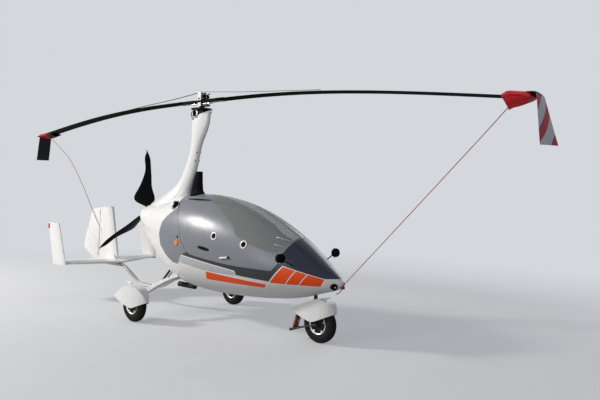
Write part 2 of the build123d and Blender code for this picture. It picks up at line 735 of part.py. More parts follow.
for name, side in (("left", 1), ("right", -1)):
    axle_bore = rod((MAIN_X, side * (BOW_END_Y - 20), TYRE_R), (MAIN_X, side * (BOW_END_Y + 20), TYRE_R),
                    AXLE_R + FIT)
    finish(spat_solid(MAIN_X, side * TRACK_HALF, MAIN_SPAT_HALF, MAIN_CROWN, MAIN_SKIRT, axle_bore), f"spat_{name}")

# Nose gear: a steerer and a spine that curves down behind the wheel, a leg with a coil spring on
# it, and two links that lead forward to the axle
PIVOT = Vector(1618, 0, 98)
LEG_TOP = Vector(1672, 0, 262)
LEG_R = 13.0
SPINE_HALF = 20.0
SPINE = [
    (1960, 436), (1840, 414), (1750, 366), (1690, 305), (1658, 262), (1686, 250), (1716, 290),
    (1770, 338), (1850, 392), (1960, 422),
]
STEERER_TOP_Z = 560.0
LINK_Y = TYRE_W / 2 + 14
LINK_R = 8.0
PIVOT_R = 15.0
SPRING_START = 26.0    # along the leg from the pivot
SPRING_L = 118.0
SPRING_SEAT_T = 6.0
SPRING_R = 31.0
COILS = 7
leg_axis = (LEG_TOP - PIVOT).normalized()


def on_leg(reach):
    """A point on the leg's axis at a reach from the pivot."""
    return PIVOT + leg_axis * reach


with BuildPart() as nose_fork:
    add(rod((STEER_X, 0, SPINE[-1][1] - 10), (STEER_X, 0, STEERER_TOP_Z), STEER_R))
    with BuildSketch(Plane.XZ):
        with BuildLine():
            Polyline(*SPINE, close=True)
        make_face()
    extrude(amount=SPINE_HALF, both=True)
    add(rod(PIVOT, LEG_TOP, LEG_R))
    add(rod(on_leg(SPRING_START - SPRING_SEAT_T), on_leg(SPRING_START), SPRING_R))
    add(rod(on_leg(SPRING_START + SPRING_L), on_leg(SPRING_START + SPRING_L + SPRING_SEAT_T), SPRING_R))
    pin_half = LINK_Y + LINK_R + 3
    add(rod((PIVOT.X, -pin_half, PIVOT.Z), (PIVOT.X, pin_half, PIVOT.Z), PIVOT_R))
    for y in (-LINK_Y, LINK_Y):
        add(rod((PIVOT.X, y, PIVOT.Z), (NOSE_X, y, TYRE_R), LINK_R))
    add(rod((NOSE_X, -pin_half, TYRE_R), (NOSE_X, pin_half, TYRE_R), AXLE_R))
finish(nose_fork, "nose_fork")

# Coil spring on the leg, drawn as a ridged sleeve with one ridge a coil
with BuildPart() as nose_spring:
    with BuildSketch(Plane(origin=on_leg(SPRING_START), x_dir=(0, 1, 0), z_dir=Vector(0, 1, 0).cross(leg_axis))):
        with BuildLine():
            pitch = SPRING_L / COILS
            valley = SPRING_R - 9
            crest = SPRING_R - 2
            for coil in range(COILS):
                low = coil * pitch
                Polyline((valley, low), (crest, low + 0.35 * pitch), (crest, low + 0.65 * pitch), (valley, low + pitch))
            Polyline((valley, SPRING_L), (LEG_R + FIT, SPRING_L), (LEG_R + FIT, 0), (valley, 0))
        make_face()
    revolve(axis=Axis(on_leg(0), leg_axis))
finish(nose_spring, "nose_spring")

steerer_bore = rod((STEER_X, 0, 400), (STEER_X, 0, 480), STEER_R + FIT)
finish(spat_solid(NOSE_X, 0, NOSE_SPAT_HALF, NOSE_CROWN, NOSE_SKIRT, steerer_bore), "spat_nose")

# Propeller: hub with three twisted blades, each with a broad root that sweeps aft
# Blade sections from the hub out: radius, reach of the front edge, reach of the rear edge,
# thickness, angle to the disc
PROP_SECTIONS = [
    (40, 34, -34, 36, 50), (110, 54, -80, 34, 52), (190, 104, -178, 27, 49), (290, 80, -140, 20, 44),
    (400, 62, -80, 17, 37), (540, 60, -30, 12, 30), (690, 54, -24, 9, 25), (790, 32, -14, 6, 22),
    (PROP_R, 8, -6, 3, 20),
]
with BuildPart() as prop_blade:
    for radius, front_edge, rear_edge, thick, pitch in PROP_SECTIONS:
        place = Plane(origin=(PROP_X, 0, PROP_Z + radius),
                      x_dir=Vector(1, 0, 0).rotate(Axis.Z, 90 - pitch), z_dir=(0, 0, 1))
        with BuildSketch(place):
            with BuildLine():
                middle = (front_edge + rear_edge) / 2
                ThreePointArc((front_edge, 0), (middle, thick / 2), (rear_edge, 0))
                ThreePointArc((rear_edge, 0), (middle, -thick / 2), (front_edge, 0))
            make_face()
    loft()
with BuildPart() as propeller:
    with BuildSketch(Plane.YZ.offset(PROP_X)):
        with Locations((0, PROP_Z)):
            Circle(PROP_HUB_R)
    extrude(amount=PROP_HUB_L / 2, both=True)
    for index in range(PROP_BLADES):
        add(prop_blade.part.rotate(Axis((PROP_X, 0, PROP_Z), (1, 0, 0)), PROP_PHASE + index * 360 / PROP_BLADES))
    # tapped circle in the aft face for a spinner
    with Locations(Plane(origin=(PROP_X - PROP_HUB_L / 2, 0, PROP_Z), z_dir=(-1, 0, 0))):
        with PolarLocations(SPINNER_PCD / 2, SPINNER_BOLTS):
            Cylinder(SPINNER_BOLT_R, 2 * SPINNER_DEPTH, mode=Mode.SUBTRACT)
finish(propeller, "propeller")

# Tailplane: LE x, TE x, thickness at the centre and at the fins
TAIL_SECTIONS = [(0, -1640, -2290, 66), (TAIL_HALF - FIN_T / 2, -1925, -2290, 44)]


def airfoil_line(lead, trail, thick, trail_t=4.0):
    """Symmetrical section: elliptical nose, then straight to a blunt trailing edge."""
    main_x = lead - THICKEST * (lead - trail)
    with BuildLine() as outline:
        nose = EllipticalCenterArc((main_x, 0), lead - main_x, thick / 2, 270, arc_size=180)
        Polyline(nose @ 1, (trail, trail_t / 2), (trail, -trail_t / 2), nose @ 0)
    return outline.line


with BuildPart() as tail_half:
    for y, lead, trail, thick in TAIL_SECTIONS:
        with BuildSketch(Plane(origin=(0, y, TAIL_Z), x_dir=(1, 0, 0), z_dir=(0, -1, 0))):
            add(airfoil_line(lead, trail, thick))
            make_face()
    loft(ruled=True)
with BuildPart() as tailplane:
    add(tail_half.part)
    mirror(about=Plane.XZ)
    add(keel_solid(KEEL_R + FIT), mode=Mode.SUBTRACT)
    add(rod(HINGE_LOW, HINGE_HIGH, RUDDER_T / 2 + RUDDER_GAP), mode=Mode.SUBTRACT)
finish(tailplane, "tailplane")

# End fins: z, LE x, TE x
END_FIN = [(488, -1900, -2256), (1062, -2100, -2392)]
for side, name in ((1, "fin_left"), (-1, "fin_right")):
    with BuildPart() as end_fin:
        for z, lead, trail in END_FIN:
            with BuildSketch(Plane(origin=(0, side * TAIL_HALF, z))):
                add(airfoil_line(lead, trail, FIN_T))
                make_face()
        loft(ruled=True)
    finish(end_fin, name)

# Centre fin and rudder share one tapering section, split at a leaning hinge line
CENTRE_FIN = [(478, -1768, -2800), (1300, -1935, -2500)]
FIN_OUTLINE = [(-1700, TAIL_Z), (-1910, 1240), (-1965, 1288), (-2235, 1274), (-2289, TAIL_Z)]
RUDDER_OUTLINE = [(-2290, 486), (-2240, 1272), (-2452, 1240), (-2502, 1196), (-2634, 892), (-2668, 880),
                  (-2714, 720), (-2710, 655), (-2396, 486)]
with BuildPart() as vertical_form:
    for z, lead, trail in CENTRE_FIN:
        hinge_x = HINGE_LOW[0] + (HINGE_HIGH[0] - HINGE_LOW[0]) * (z - HINGE_LOW[2]) / (HINGE_HIGH[2] - HINGE_LOW[2])
        with BuildSketch(Plane.XY.offset(z)):
            with BuildLine():
                main_x = lead - THICKEST * (lead - hinge_x)
                nose = EllipticalCenterArc((main_x, 0), lead - main_x, CENTRE_FIN_HALF, 270, arc_size=180)
                Polyline(nose @ 1, (hinge_x, RUDDER_T / 2), (trail, 2), (trail, -2), (hinge_x, -RUDDER_T / 2),
                         nose @ 0)
            make_face()
    loft(ruled=True)
# Rudder hinges: a bored lug on the fin in a slot of the rudder's nose, with the rudder's pin in it
HINGE_HEIGHTS = [590, 1190]
LUG_R = 20.0
LUG_T = 12.0
PIN_R = 5.0
hinge_run = Vector(*HINGE_HIGH) - Vector(*HINGE_LOW)


def on_hinge(z):
    """The point of the rudder's hinge line at a height."""
    return Vector(*HINGE_LOW) + hinge_run * ((z - HINGE_LOW[2]) / hinge_run.Z)


def hinge_disc(z, radius, thick):
    """A disc about the hinge line, centred at a height."""
    half = hinge_run.normalized() * (thick / 2)
    return rod(on_hinge(z) - half, on_hinge(z) + half, radius)


with BuildPart() as centre_fin:
    add(vertical_form.part)
    add(side_zone(FIN_OUTLINE), mode=Mode.INTERSECT)
    add(rod(HINGE_LOW, HINGE_HIGH, RUDDER_T / 2 + RUDDER_GAP), mode=Mode.SUBTRACT)
    add(tailplane.part, mode=Mode.SUBTRACT)
    for z in HINGE_HEIGHTS:
        add(hinge_disc(z, LUG_R, LUG_T))
        hinge_plane = Plane(origin=on_hinge(z), x_dir=(0, 1, 0), z_dir=hinge_run)
        with BuildSketch(hinge_plane):
            Rectangle(LUG_R, RUDDER_T / 2 + 2 * RUDDER_GAP, align=(Align.CENTER, Align.MAX))
        extrude(amount=LUG_T / 2, both=True)
        add(hinge_disc(z, PIN_R + FIT, 2 * LUG_T), mode=Mode.SUBTRACT)
finish(centre_fin, "centre_fin")
with BuildPart() as rudder_nose:
    add(rod(HINGE_LOW, HINGE_HIGH, RUDDER_T / 2))
    add(side_zone([(-2400, 486), (-2100, 486), (-2100, 1270), (-2400, 1270)]), mode=Mode.INTERSECT)
with BuildPart() as rudder:
    add(vertical_form.part)
    add(side_zone(RUDDER_OUTLINE), mode=Mode.INTERSECT)
    add(rudder_nose.part)
    for z in HINGE_HEIGHTS:
        add(hinge_disc(z, RUDDER_T / 2 + 2, LUG_T + 2 * FIT), mode=Mode.SUBTRACT)
        add(hinge_disc(z, PIN_R, LUG_T + 4 * FIT))
finish(rudder, "rudder")

# Rotor head on the mast: gimbal block and bearing housing, fixed
RING_Z = HUB_Z - 95.0
RING_T = 16.0
GIMBAL = (180, 56, 40)
BEARING_R = 38.0
SPINDLE_R = 30.0
HUB_BAR_W = 90.0
CHEEK_Y = 30.0         # teeter tower's two cheeks
CHEEK = (54, 12)
CROSSBAR_T = 14.0
CROSSBAR_DROP = 40.0
with BuildPart() as rotor_head:
    with Locations((0, 0, MAST_FLOOR_Z)):
        Box(*GIMBAL, align=(Align.CENTER, Align.CENTER, Align.MIN))
        Cylinder(BEARING_R, RING_Z - RING_T / 2 - MAST_FLOOR_Z, align=(Align.CENTER, Align.CENTER, Align.MIN))
finish(rotor_head, "rotor_head")

# Turning head: spindle, pre-rotator ring, hub bar and teeter tower
with BuildPart() as rotor_hub:
    with Locations((0, 0, RING_Z - RING_T / 2 + FIT)):
        Cylinder(RING_R, RING_T, align=(Align.CENTER, Align.CENTER, Align.MIN))
    with Locations((0, 0, RING_Z)):
        Cylinder(SPINDLE_R, HUB_Z - RING_Z + 40, align=(Align.CENTER, Align.CENTER, Align.MIN))
    with Locations((0, 0, HUB_Z)):
        Box(2 * HUB_BAR_HALF, HUB_BAR_W, HUB_BAR_T)
    for side in (-1, 1):
        with Locations((0, side * CHEEK_Y, HUB_Z)):
            Box(*CHEEK, TOWER_TOP_Z - HUB_Z, align=(Align.CENTER, Align.CENTER, Align.MIN))
    with Locations((0, 0, TOWER_TOP_Z - CROSSBAR_DROP)):
        Box(CHEEK[0], 2 * CHEEK_Y + CHEEK[1], CROSSBAR_T)
    hoist_z = TOWER_TOP_Z - HOIST_DROP
    hoist_y = CHEEK_Y + CHEEK[1]
    add(rod((0, -hoist_y, hoist_z), (0, hoist_y, hoist_z), HOIST_R), mode=Mode.SUBTRACT)
finish(rotor_hub, "rotor_hub")

# Rotor blades droop outward: x along the blade, height above the hub datum
DROOP = [(HUB_BAR_HALF, 0), (1000, -6), (1600, -27), (2300, -75), (3000, -145), (ROTOR_R, -278)]


def blade_outline():
    """Rotor section across the blade: rounded nose, thin trailing edge."""
    with BuildLine() as outline:
        nose = EllipticalCenterArc((ROTOR_CHORD / 2 - BLADE_NOSE, 0), BLADE_NOSE, ROTOR_T / 2, 270, arc_size=180)
        Polyline(nose @ 1, (-ROTOR_CHORD / 2, 1), (-ROTOR_CHORD / 2, -1), nose @ 0)
    return outline.line


with BuildPart() as blade_form:
    for x, drop in DROOP:
        with BuildSketch(Plane(origin=(x, 0, HUB_Z + drop), x_dir=(0, 1, 0), z_dir=(1, 0, 0))):
            add(blade_outline())
            make_face()
    loft()
for turn, name in ((0, "blade_front"), (180, "blade_rear")):
    with BuildPart() as rotor_blade:
        add(blade_form.part.rotate(Axis.Z, turn))
    finish(rotor_blade, name)

# Tie-down bags over the blade tips, each with a streamer hung from its outer end:
# reach from the blade tip, shift up, half height, half width
BAG = [(-255, -14, 66, 115), (-110, -4, 40, 112), (18, 0, 22, 108)]
FLAG_W = 200.0
FLAG_H = 410.0
FLAG_T = 4.0
DROOP_SLOPE = (DROOP[-1][1] - DROOP[-2][1]) / (DROOP[-1][0] - DROOP[-2][0])
with BuildPart() as bag_form:
    for reach, shift, half_h, half_w in BAG:
        drop = DROOP[-1][1] + DROOP_SLOPE * reach
        with BuildSketch(Plane(origin=(ROTOR_R + reach, 0, HUB_Z + drop + shift), x_dir=(0, 1, 0),
                               z_dir=(1, 0, 0))):
            RectangleRounded(2 * half_w, 2 * half_h, 18)
    loft(ruled=True)
    with BuildSketch(Plane.YZ.offset(ROTOR_R + BAG[-1][0])):
        with Locations((0, HUB_Z + DROOP[-1][1])):
            Rectangle(FLAG_W, FLAG_H, align=(Align.CENTER, Align.MAX))
    extrude(amount=FLAG_T)
    add(blade_form.part, mode=Mode.SUBTRACT)
for turn, end in ((0, "front"), (180, "rear")):
    with BuildPart() as tip_bag:
        add(bag_form.part.rotate(Axis.Z, turn))
    finish(tip_bag, f"tip_bag_{end}")
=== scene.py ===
"""Look of a two-seat enclosed gyrocopter: finishes, cloth, small fittings, light and camera."""

import logging
import math
from dataclasses import dataclass
from enum import Enum
from typing import Any, Sequence

import bmesh
import bpy
import numpy as np
from mathutils import Matrix, Vector


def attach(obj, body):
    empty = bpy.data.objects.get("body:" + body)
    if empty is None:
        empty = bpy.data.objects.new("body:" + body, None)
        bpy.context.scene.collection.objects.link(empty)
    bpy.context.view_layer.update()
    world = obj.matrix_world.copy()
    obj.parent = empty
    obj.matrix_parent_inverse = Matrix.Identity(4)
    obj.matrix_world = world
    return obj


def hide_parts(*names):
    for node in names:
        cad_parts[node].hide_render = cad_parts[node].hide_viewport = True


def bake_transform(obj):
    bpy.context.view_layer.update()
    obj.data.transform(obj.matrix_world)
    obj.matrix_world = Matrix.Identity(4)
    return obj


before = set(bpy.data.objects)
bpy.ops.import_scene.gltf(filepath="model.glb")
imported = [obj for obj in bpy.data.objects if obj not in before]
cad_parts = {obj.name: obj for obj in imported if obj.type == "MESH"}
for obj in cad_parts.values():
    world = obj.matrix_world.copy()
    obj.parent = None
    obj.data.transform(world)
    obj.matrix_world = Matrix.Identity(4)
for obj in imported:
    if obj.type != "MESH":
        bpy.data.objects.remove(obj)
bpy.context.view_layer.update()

log = logging.getLogger("gyrocopter")

Colour = tuple[float, float, float]
Point = tuple[float, float, float]
Outline = Sequence[tuple[float, float]]
Place = Point | np.ndarray
Profile = Outline | np.ndarray

TURN = 2.0 * math.pi  # one turn in radians


class Axis(Enum):
    """Main directions of the machine."""

    FORWARD = (1.0, 0.0, 0.0)
    PORT = (0.0, 1.0, 0.0)
    UP = (0.0, 0.0, 1.0)


class Side(Enum):
    """Sides of the machine, as the sign of y."""

    PORT = 1
    STARBOARD = -1


# Shader work

BUMP_SHARE = 0.6  # strength of every finish's relief
ROUGH_SPAN = 0.16  # how far a finish's roughness varies from patch to patch
LEAST_ROUGH = 0.02  # roughness of the smoothest patch
COAT_ROUGH = 0.06  # roughness of clear coat
GROUND_FILM = (0.16, 0.14, 0.11)  # colour of road film
FILM_TOP = 0.55  # height at which the film has half gone
FILM_FADE = 0.9  # height over which it goes


class Signal:
    """A shader socket's value, on which arithmetic adds Math nodes."""

    def __init__(self, shader: "Shader", socket: bpy.types.NodeSocket) -> None:
        """Wraps a socket of a shader's tree."""
        self.shader = shader
        self.socket = socket

    def _math(self, operation: str, *values: "Signal | float") -> "Signal":
        """One Math node on values."""
        return self.shader.node("Math", {"operation": operation}, dict(enumerate(values)))

    def __add__(self, other: "Signal | float") -> "Signal":
        """Sum."""
        return self._math("ADD", self, other)

    __radd__ = __add__

    def __sub__(self, other: "Signal | float") -> "Signal":
        """Difference."""
        return self._math("SUBTRACT", self, other)

    def __rsub__(self, other: float) -> "Signal":
        """Difference from a number."""
        return self._math("SUBTRACT", other, self)

    def __mul__(self, other: "Signal | float") -> "Signal":
        """Product."""
        return self._math("MULTIPLY", self, other)

    __rmul__ = __mul__

    def least(self, other: "Signal | float") -> "Signal":
        """The smaller of two."""
        return self._math("MINIMUM", self, other)

    def most(self, other: "Signal | float") -> "Signal":
        """The larger of two."""
        return self._math("MAXIMUM", self, other)

    def size(self) -> "Signal":
        """Value without its sign."""
        return self._math("ABSOLUTE", self)

    def sine(self) -> "Signal":
        """Sine of an angle in radians."""
        return self._math("SINE", self)

    def step(self, soft: float) -> "Signal":
        """0 below zero and 1 above it, with a soft edge of that width."""
        settings = {"operation": "MULTIPLY_ADD", "use_clamp": True}
        return self.shader.node("Math", settings, {0: self, 1: 1 / soft, 2: 0.5})


class Shader:
    """The node tree of a material, or of the surround, under construction."""

    def __init__(self, owner: bpy.types.Material | bpy.types.World) -> None:
        """Empties the owner's tree.

        Args:
            owner: Material or world that takes the nodes.
        """
        self.owner = owner
        owner.use_nodes = True
        self.tree = owner.node_tree
        self.tree.nodes.clear()
        self._place: tuple[Signal, Signal, Signal] | None = None

    def node(
        self,
        kind: str,
        settings: dict[str, Any] | None = None,
        inputs: dict[int | str, Any] | None = None,
        out: int | str = 0,
    ) -> Signal:
        """Adds a node, with its settings first and then its inputs.

        Args:
            kind: Node type without its ShaderNode prefix.
            settings: Properties that are set first.
            inputs: Values or signals by socket.
            out: Socket that is returned.

        Returns:
            The chosen output, or an end node's first input.
        """
        node = self.tree.nodes.new("ShaderNode" + kind)
        for key, value in (settings or {}).items():
            setattr(node, key, value)
        for key, value in (inputs or {}).items():
            if isinstance(value, Signal):
                self.tree.links.new(value.socket, node.inputs[key])
            else:
                node.inputs[key].default_value = value
        return Signal(self, node.outputs[out] if len(node.outputs) else node.inputs[0])

    def place(self) -> tuple[Signal, Signal, Signal]:
        """Object coordinates, read once for the whole tree.

        Returns:
            x, y and z in metres.
        """
        if self._place is None:
            coords = self.node("TexCoord", out="Object")
            split = self.node("SeparateXYZ", None, {0: coords})
            sockets = split.socket.node.outputs
            self._place = tuple(Signal(self, socket) for socket in sockets)
        return self._place

    def noise(self, scale: float, detail: float = 3.0, stretch: Point = (1.0, 1.0, 1.0)) -> Signal:
        """Noise from 0 to 1 on object coordinates.

        Args:
            scale: Features a metre.
            detail: Octaves.
            stretch: Scale along each axis.

        Returns:
            The noise's value.
        """
        coords = self.node("TexCoord", out="Object")
        mapped = self.node("Mapping", None, {"Vector": coords, "Scale": stretch})
        return self.node("TexNoise", None, {"Vector": mapped, "Scale": scale, "Detail": detail}, "Fac")

    def mix(self, amount: Signal, first: Signal | Colour, second: Signal | Colour) -> Signal:
        """Blend of two colours by a mask."""
        pair = [value if isinstance(value, Signal) else (*value, 1.0) for value in (first, second)]
        return self.node("Mix", {"data_type": "RGBA"}, {0: amount, 6: pair[0], 7: pair[1]}, 2)

    def bump(self, height: Signal, depth: float) -> Signal:
        """Normal from a height of 0 to 1 that is depth metres deep."""
        return self.node("Bump", None, {"Height": height, "Distance": depth, "Strength": BUMP_SHARE})

    def inside(self, outline: Outline, grow: float = 0.0, soft: float = 0.002) -> Signal:
        """Mask of a convex outline seen from the side.

        The least of the signed distances to its edges is above zero inside.

        Args:
            outline: Corners as (x, z) in metres, either way round.
            grow: Distance by which the outline is pushed outwards.
            soft: Width of the mask's edge.

        Returns:
            1 inside and 0 outside.
        """
        x, _, z = self.place()
        corners = np.array(outline)
        ahead = np.roll(corners, -1, axis=0)
        run = ahead - corners
        area = np.sum(corners[:, 0] * ahead[:, 1] - ahead[:, 0] * corners[:, 1])
        normals = np.stack([-run[:, 1], run[:, 0]], axis=1) * np.sign(area)
        normals /= np.linalg.norm(normals, axis=1)[:, None]
        shifts = grow - np.sum(normals * corners, axis=1)
        distance: Signal | None = None
        for (a, c), shift in zip(normals.tolist(), shifts.tolist()):
            edge = x * a + z * c + shift
            distance = edge if distance is None else distance.least(edge)
        return distance.step(soft)

    def done(self, **sockets: Any) -> None:
        """Ends the tree with a Principled surface; a socket's name has _ for a space."""
        inputs = {key.replace("_", " "): value for key, value in sockets.items()}
        self.node("OutputMaterial", None, {"Surface": self.node("BsdfPrincipled", None, inputs)})


# Finishes


@dataclass(frozen=True)
class Finish:
    """A painted, moulded or metal surface with its small variations.

    Attributes:
        name: Material name.
        colour: Base colour.
        rough: Mean roughness.
        metallic: Metallic share.
        coat: Clear coat.
        mottle: Share by which the colour varies.
        grain: Features a metre of the variation.
        relief: Depth of the fine bump in metres.
        fine: Features a metre of the bump.
        dirt: Share of road film low on the machine.
        alpha: Opacity.
        shine: Strength of the mirror part, 0.5 for common paint.
    """

    name: str
    colour: Colour
    rough: float
    metallic: float = 0.0
    coat: float = 0.0
    mottle: float = 0.05
    grain: float = 9.0
    relief: float = 0.0002
    fine: float = 120.0
    dirt: float = 0.0
    alpha: float = 1.0
    shine: float = 0.5

    def base(self, shader: Shader) -> Signal | Colour:
        """Colour before mottling."""
        return self.colour

    def height(self, shader: Shader) -> Signal:
        """Fine relief from 0 to 1."""
        return shader.noise(self.fine, 2.0)

    def paint(self, shader: Shader) -> Signal:
        """Base colour, darkened in patches and filmed with dirt towards the ground.

        Args:
            shader: Tree that takes the nodes.

        Returns:
            The colour over the surface.
        """
        patches = shader.noise(self.grain) * self.mottle
        painted = shader.mix(patches, self.base(shader), tuple(0.25 * c for c in self.colour))
        if self.dirt:
            height = shader.place()[2]
            film = (FILM_TOP - height).step(FILM_FADE) * shader.noise(22.0, 5.0) * self.dirt
            painted = shader.mix(film, painted, GROUND_FILM)
        return painted

    def material(self) -> bpy.types.Material:
        """The finish's material, made once under its own label.

        Returns:
            The material.
        """
        label = f"{self.name}_finish"
        found = bpy.data.materials.get(label)
        if found is None:
            found = bpy.data.materials.new(label)
            self.surface(Shader(found))
        return found

    def surface(self, shader: Shader) -> None:
        """Paint with a roughness that varies by patches and a fine relief.

        Args:
            shader: Tree that takes the nodes.
        """
        patches = shader.noise(self.grain * 2.0, 4.0)
        rough = patches * ROUGH_SPAN + (self.rough - ROUGH_SPAN / 2.0)
        shader.done(
            Base_Color=self.paint(shader),
            Roughness=rough.most(LEAST_ROUGH),
            Metallic=self.metallic,
            Coat_Weight=self.coat,
            Coat_Roughness=COAT_ROUGH,
            Alpha=self.alpha,
            Specular_IOR_Level=self.shine,
            Normal=shader.bump(self.height(shader), self.relief),
        )


@dataclass(frozen=True)
class Stripe:
    """A convex panel of the side decoration.

    Attributes:
        outline: Corners as (x, z).
        colour: Fill.
        edge: Width of its white line outside the fill.
    """

    outline: tuple[tuple[float, float], ...]
    colour: Colour
    edge: float = 0.0


@dataclass(frozen=True)
class HullPaint(Finish):
    """White hull with its side decoration, the same on both sides.

    Attributes:
        stripes: Panels from the lowest layer up.
        line: Colour of the panels' edges.
    """

    stripes: tuple[Stripe, ...] = ()
    line: Colour = (0.9, 0.9, 0.88)

    def base(self, shader: Shader) -> Signal | Colour:
        """The panels laid over the white one after the other.

        Args:
            shader: Tree that takes the nodes.

        Returns:
            The colour before mottling.
        """
        painted: Signal | Colour = self.colour
        for stripe in self.stripes:
            if stripe.edge:
                painted = shader.mix(shader.inside(stripe.outline, stripe.edge), painted, self.line)
            painted = shader.mix(shader.inside(stripe.outline), painted, stripe.colour)
        return painted


@dataclass(frozen=True)
class Cloth(Finish):
    """Woven cloth, dyed by zones along the machine.

    Attributes:
        thread: Threads a metre.
        zones: Other colours as (x from, x to, colour).
        bands: Colour, width, lean and height of the middle of a slanting band, or None.
        band_edge: Sine at a band's edge; above 0 the bands are narrower than the gaps.
        hem: Height above which the cloth has another colour, and that colour, or None.
    """

    thread: float = 420.0
    zones: tuple[tuple[float, float, Colour], ...] = ()
    bands: tuple[Colour, float, float, float] | None = None
    band_edge: float = 0.19
    hem: tuple[float, Colour] | None = None

    def base(self, shader: Shader) -> Signal | Colour:
        """Zones along x, bands that rise across the cloth and a hem above a height.

        A band is where the sine of the slanted height is above its edge value.

        Args:
            shader: Tree that takes the nodes.

        Returns:
            The colour before mottling.
        """
        x, y, z = shader.place()
        cloth_colour: Signal | Colour = self.colour
        for low, high, colour in self.zones:
            span = (x - low).step(0.004).least((high - x).step(0.004))
            cloth_colour = shader.mix(span, cloth_colour, colour)
        if self.bands:
            colour, width, lean, middle = self.bands
            wave = ((z - y * lean + (0.5 * width - middle)) * (math.pi / width)).sine()
            cloth_colour = shader.mix((wave - self.band_edge).step(0.08), cloth_colour, colour)
        if self.hem:
            cloth_colour = shader.mix((z - self.hem[0]).step(0.003), cloth_colour, self.hem[1])
        return cloth_colour

    def height(self, shader: Shader) -> Signal:
        """Over and under of two sets of threads: the product of two sines.

        Args:
            shader: Tree that takes the nodes.

        Returns:
            The relief from 0 to 1.
        """
        x, y, z = shader.place()
        turn = TURN * self.thread
        warp = ((x + y * 0.7) * turn).sine()
        weft = ((z + y * 0.3) * turn).sine()
        return warp * weft * 0.5 + 0.5


@dataclass(frozen=True)
class Acrylic(Finish):
    """Tinted window sheet, see-through, a little hazy with fine scratches."""

    def surface(self, shader: Shader) -> None:
        """See-through sheet whose haze varies with fine scratches.

        Args:
            shader: Tree that takes the nodes.
        """
        scratch = shader.noise(60.0, 6.0, (1.0, 1.0, 8.0))
        shader.done(
            Base_Color=shader.mix(scratch * self.mottle, self.colour, (0.6, 0.62, 0.64)),
            Roughness=scratch * 0.05 + self.rough,
            Alpha=scratch * 0.06 + (self.alpha - 0.03),
            Coat_Weight=self.coat,
            Specular_IOR_Level=self.shine,
        )


@dataclass(frozen=True)
class BladeShade(Finish):
    """Dark blade paint with painted shade of the blades' underside laid in: near-black at the hub and
    lighter towards the tips.

    Attributes:
        tip: Colour at the tips.
        reach: Distance from the hub to a tip.
    """

    tip: Colour = (0.2, 0.2, 0.2)
    reach: float = 4.1

    def base(self, shader: Shader) -> Signal | Colour:
        """Blend along the blade by its distance from the hub."""
        x = shader.place()[0]
        return shader.mix(x.size() * (1.0 / self.reach), self.colour, self.tip)


@dataclass(frozen=True)
class Carbon(Finish):
    """Twill laminate under clear resin.

    Attributes:
        ribs: Twill ribs a metre.
    """

    ribs: float = 160.0

    def height(self, shader: Shader) -> Signal:
        """Slanting twill ribs."""
        x, y, z = shader.place()
        return ((x + z + y) * (TURN * self.ribs)).sine() * 0.5 + 0.5


# Colours of the side decoration and of the rear bag's end
ORANGE = (0.95, 0.088, 0.002)
GRAPHITE = (0.040, 0.042, 0.050)
PANEL_GREY = (0.50, 0.51, 0.54)
DIAGONAL = (0.85, 0.85, 0.83)
NEAR_BLACK = (0.012, 0.012, 0.013)

WHITE = Finish(
    "white_gelcoat", (0.82, 0.82, 0.81), 0.28, coat=0.2, shine=0.4, mottle=0.04, grain=5.0,
    relief=0.00004, fine=200.0, dirt=0.04,
)
HULL = HullPaint(
    "hull_paint", (0.80, 0.80, 0.79), 0.34, shine=0.2, mottle=0.05, relief=0.0001, dirt=0.25,
    stripes=(
        Stripe(
            ((0.10, 0.72), (0.10, 1.3), (1.80, 1.3), (1.70, 0.805), (1.53, 0.612), (1.08, 0.655)),
            GRAPHITE,
        ),
        Stripe(
            ((0.117, 0.706), (0.181, 0.793), (1.082, 0.692), (1.092, 0.643), (0.618, 0.648)),
            PANEL_GREY, 0.009,
        ),
        Stripe(((0.617, 0.646), (0.575, 0.55), (1.446, 0.547), (1.486, 0.590)), ORANGE, 0.009),
        Stripe(((1.535, 0.612), (1.70, 0.795), (2.115, 0.69), (2.075, 0.616)), ORANGE, 0.012),
        Stripe(((1.70, 0.60), (1.86, 0.80), (1.872, 0.80), (1.712, 0.60)), DIAGONAL),
        Stripe(((1.84, 0.60), (1.99, 0.78), (2.002, 0.78), (1.852, 0.60)), DIAGONAL),
    ),
)
DECK = Finish("deck_graphite", (0.014, 0.018, 0.040), 0.30, shine=0.4, mottle=0.15, grain=5.0)
SILVER = Finish(
    "door_silver", (0.24, 0.246, 0.272), 0.28, metallic=0.07, shine=0.12, mottle=0.10, grain=4.0,
    fine=500.0, relief=0.00002,
)
WINDOW = Acrylic("window_acrylic", (0.36, 0.365, 0.365), 0.06, alpha=0.40, shine=0.35)
BLACK = Finish("black_moulding", (0.006, 0.006, 0.007), 0.60, mottle=0.2, fine=300.0, shine=0.02)
CARBON = Carbon("carbon_laminate", (0.004, 0.004, 0.005), 0.45, shine=0.05, mottle=0.2, relief=0.0001)
# Blade colour: dark paint with painted shade of the underside, darkest at the hub and lighter at the tips.
BLADE = BladeShade(
    "blade_alloy", (0.020, 0.017, 0.014), 0.75, shine=0.0, mottle=0.15, grain=3.0, fine=400.0,
    tip=(0.060, 0.060, 0.058),
)
STEEL = Finish("dark_steel", (0.030, 0.030, 0.032), 0.40, metallic=0.3, shine=0.3, mottle=0.3)
SOOTED = Finish("sooted_steel", (0.014, 0.013, 0.013), 0.55, metallic=0.2, shine=0.2, mottle=0.4)
BRIGHT = Finish("bright_alloy", (0.74, 0.74, 0.75), 0.28, metallic=0.6, mottle=0.12, fine=400.0)
WHEEL = Finish("wheel_alloy", (0.70, 0.71, 0.72), 0.30, metallic=0.35, mottle=0.15, fine=300.0, dirt=0.2)
TUBE = Finish("tube_white", (0.70, 0.70, 0.69), 0.30, coat=0.3, mottle=0.08, dirt=0.3)
RUBBER = Finish(
    "tyre_rubber", (0.016, 0.016, 0.017), 0.75, mottle=0.3, relief=0.0004, dirt=0.10, shine=0.06,
)
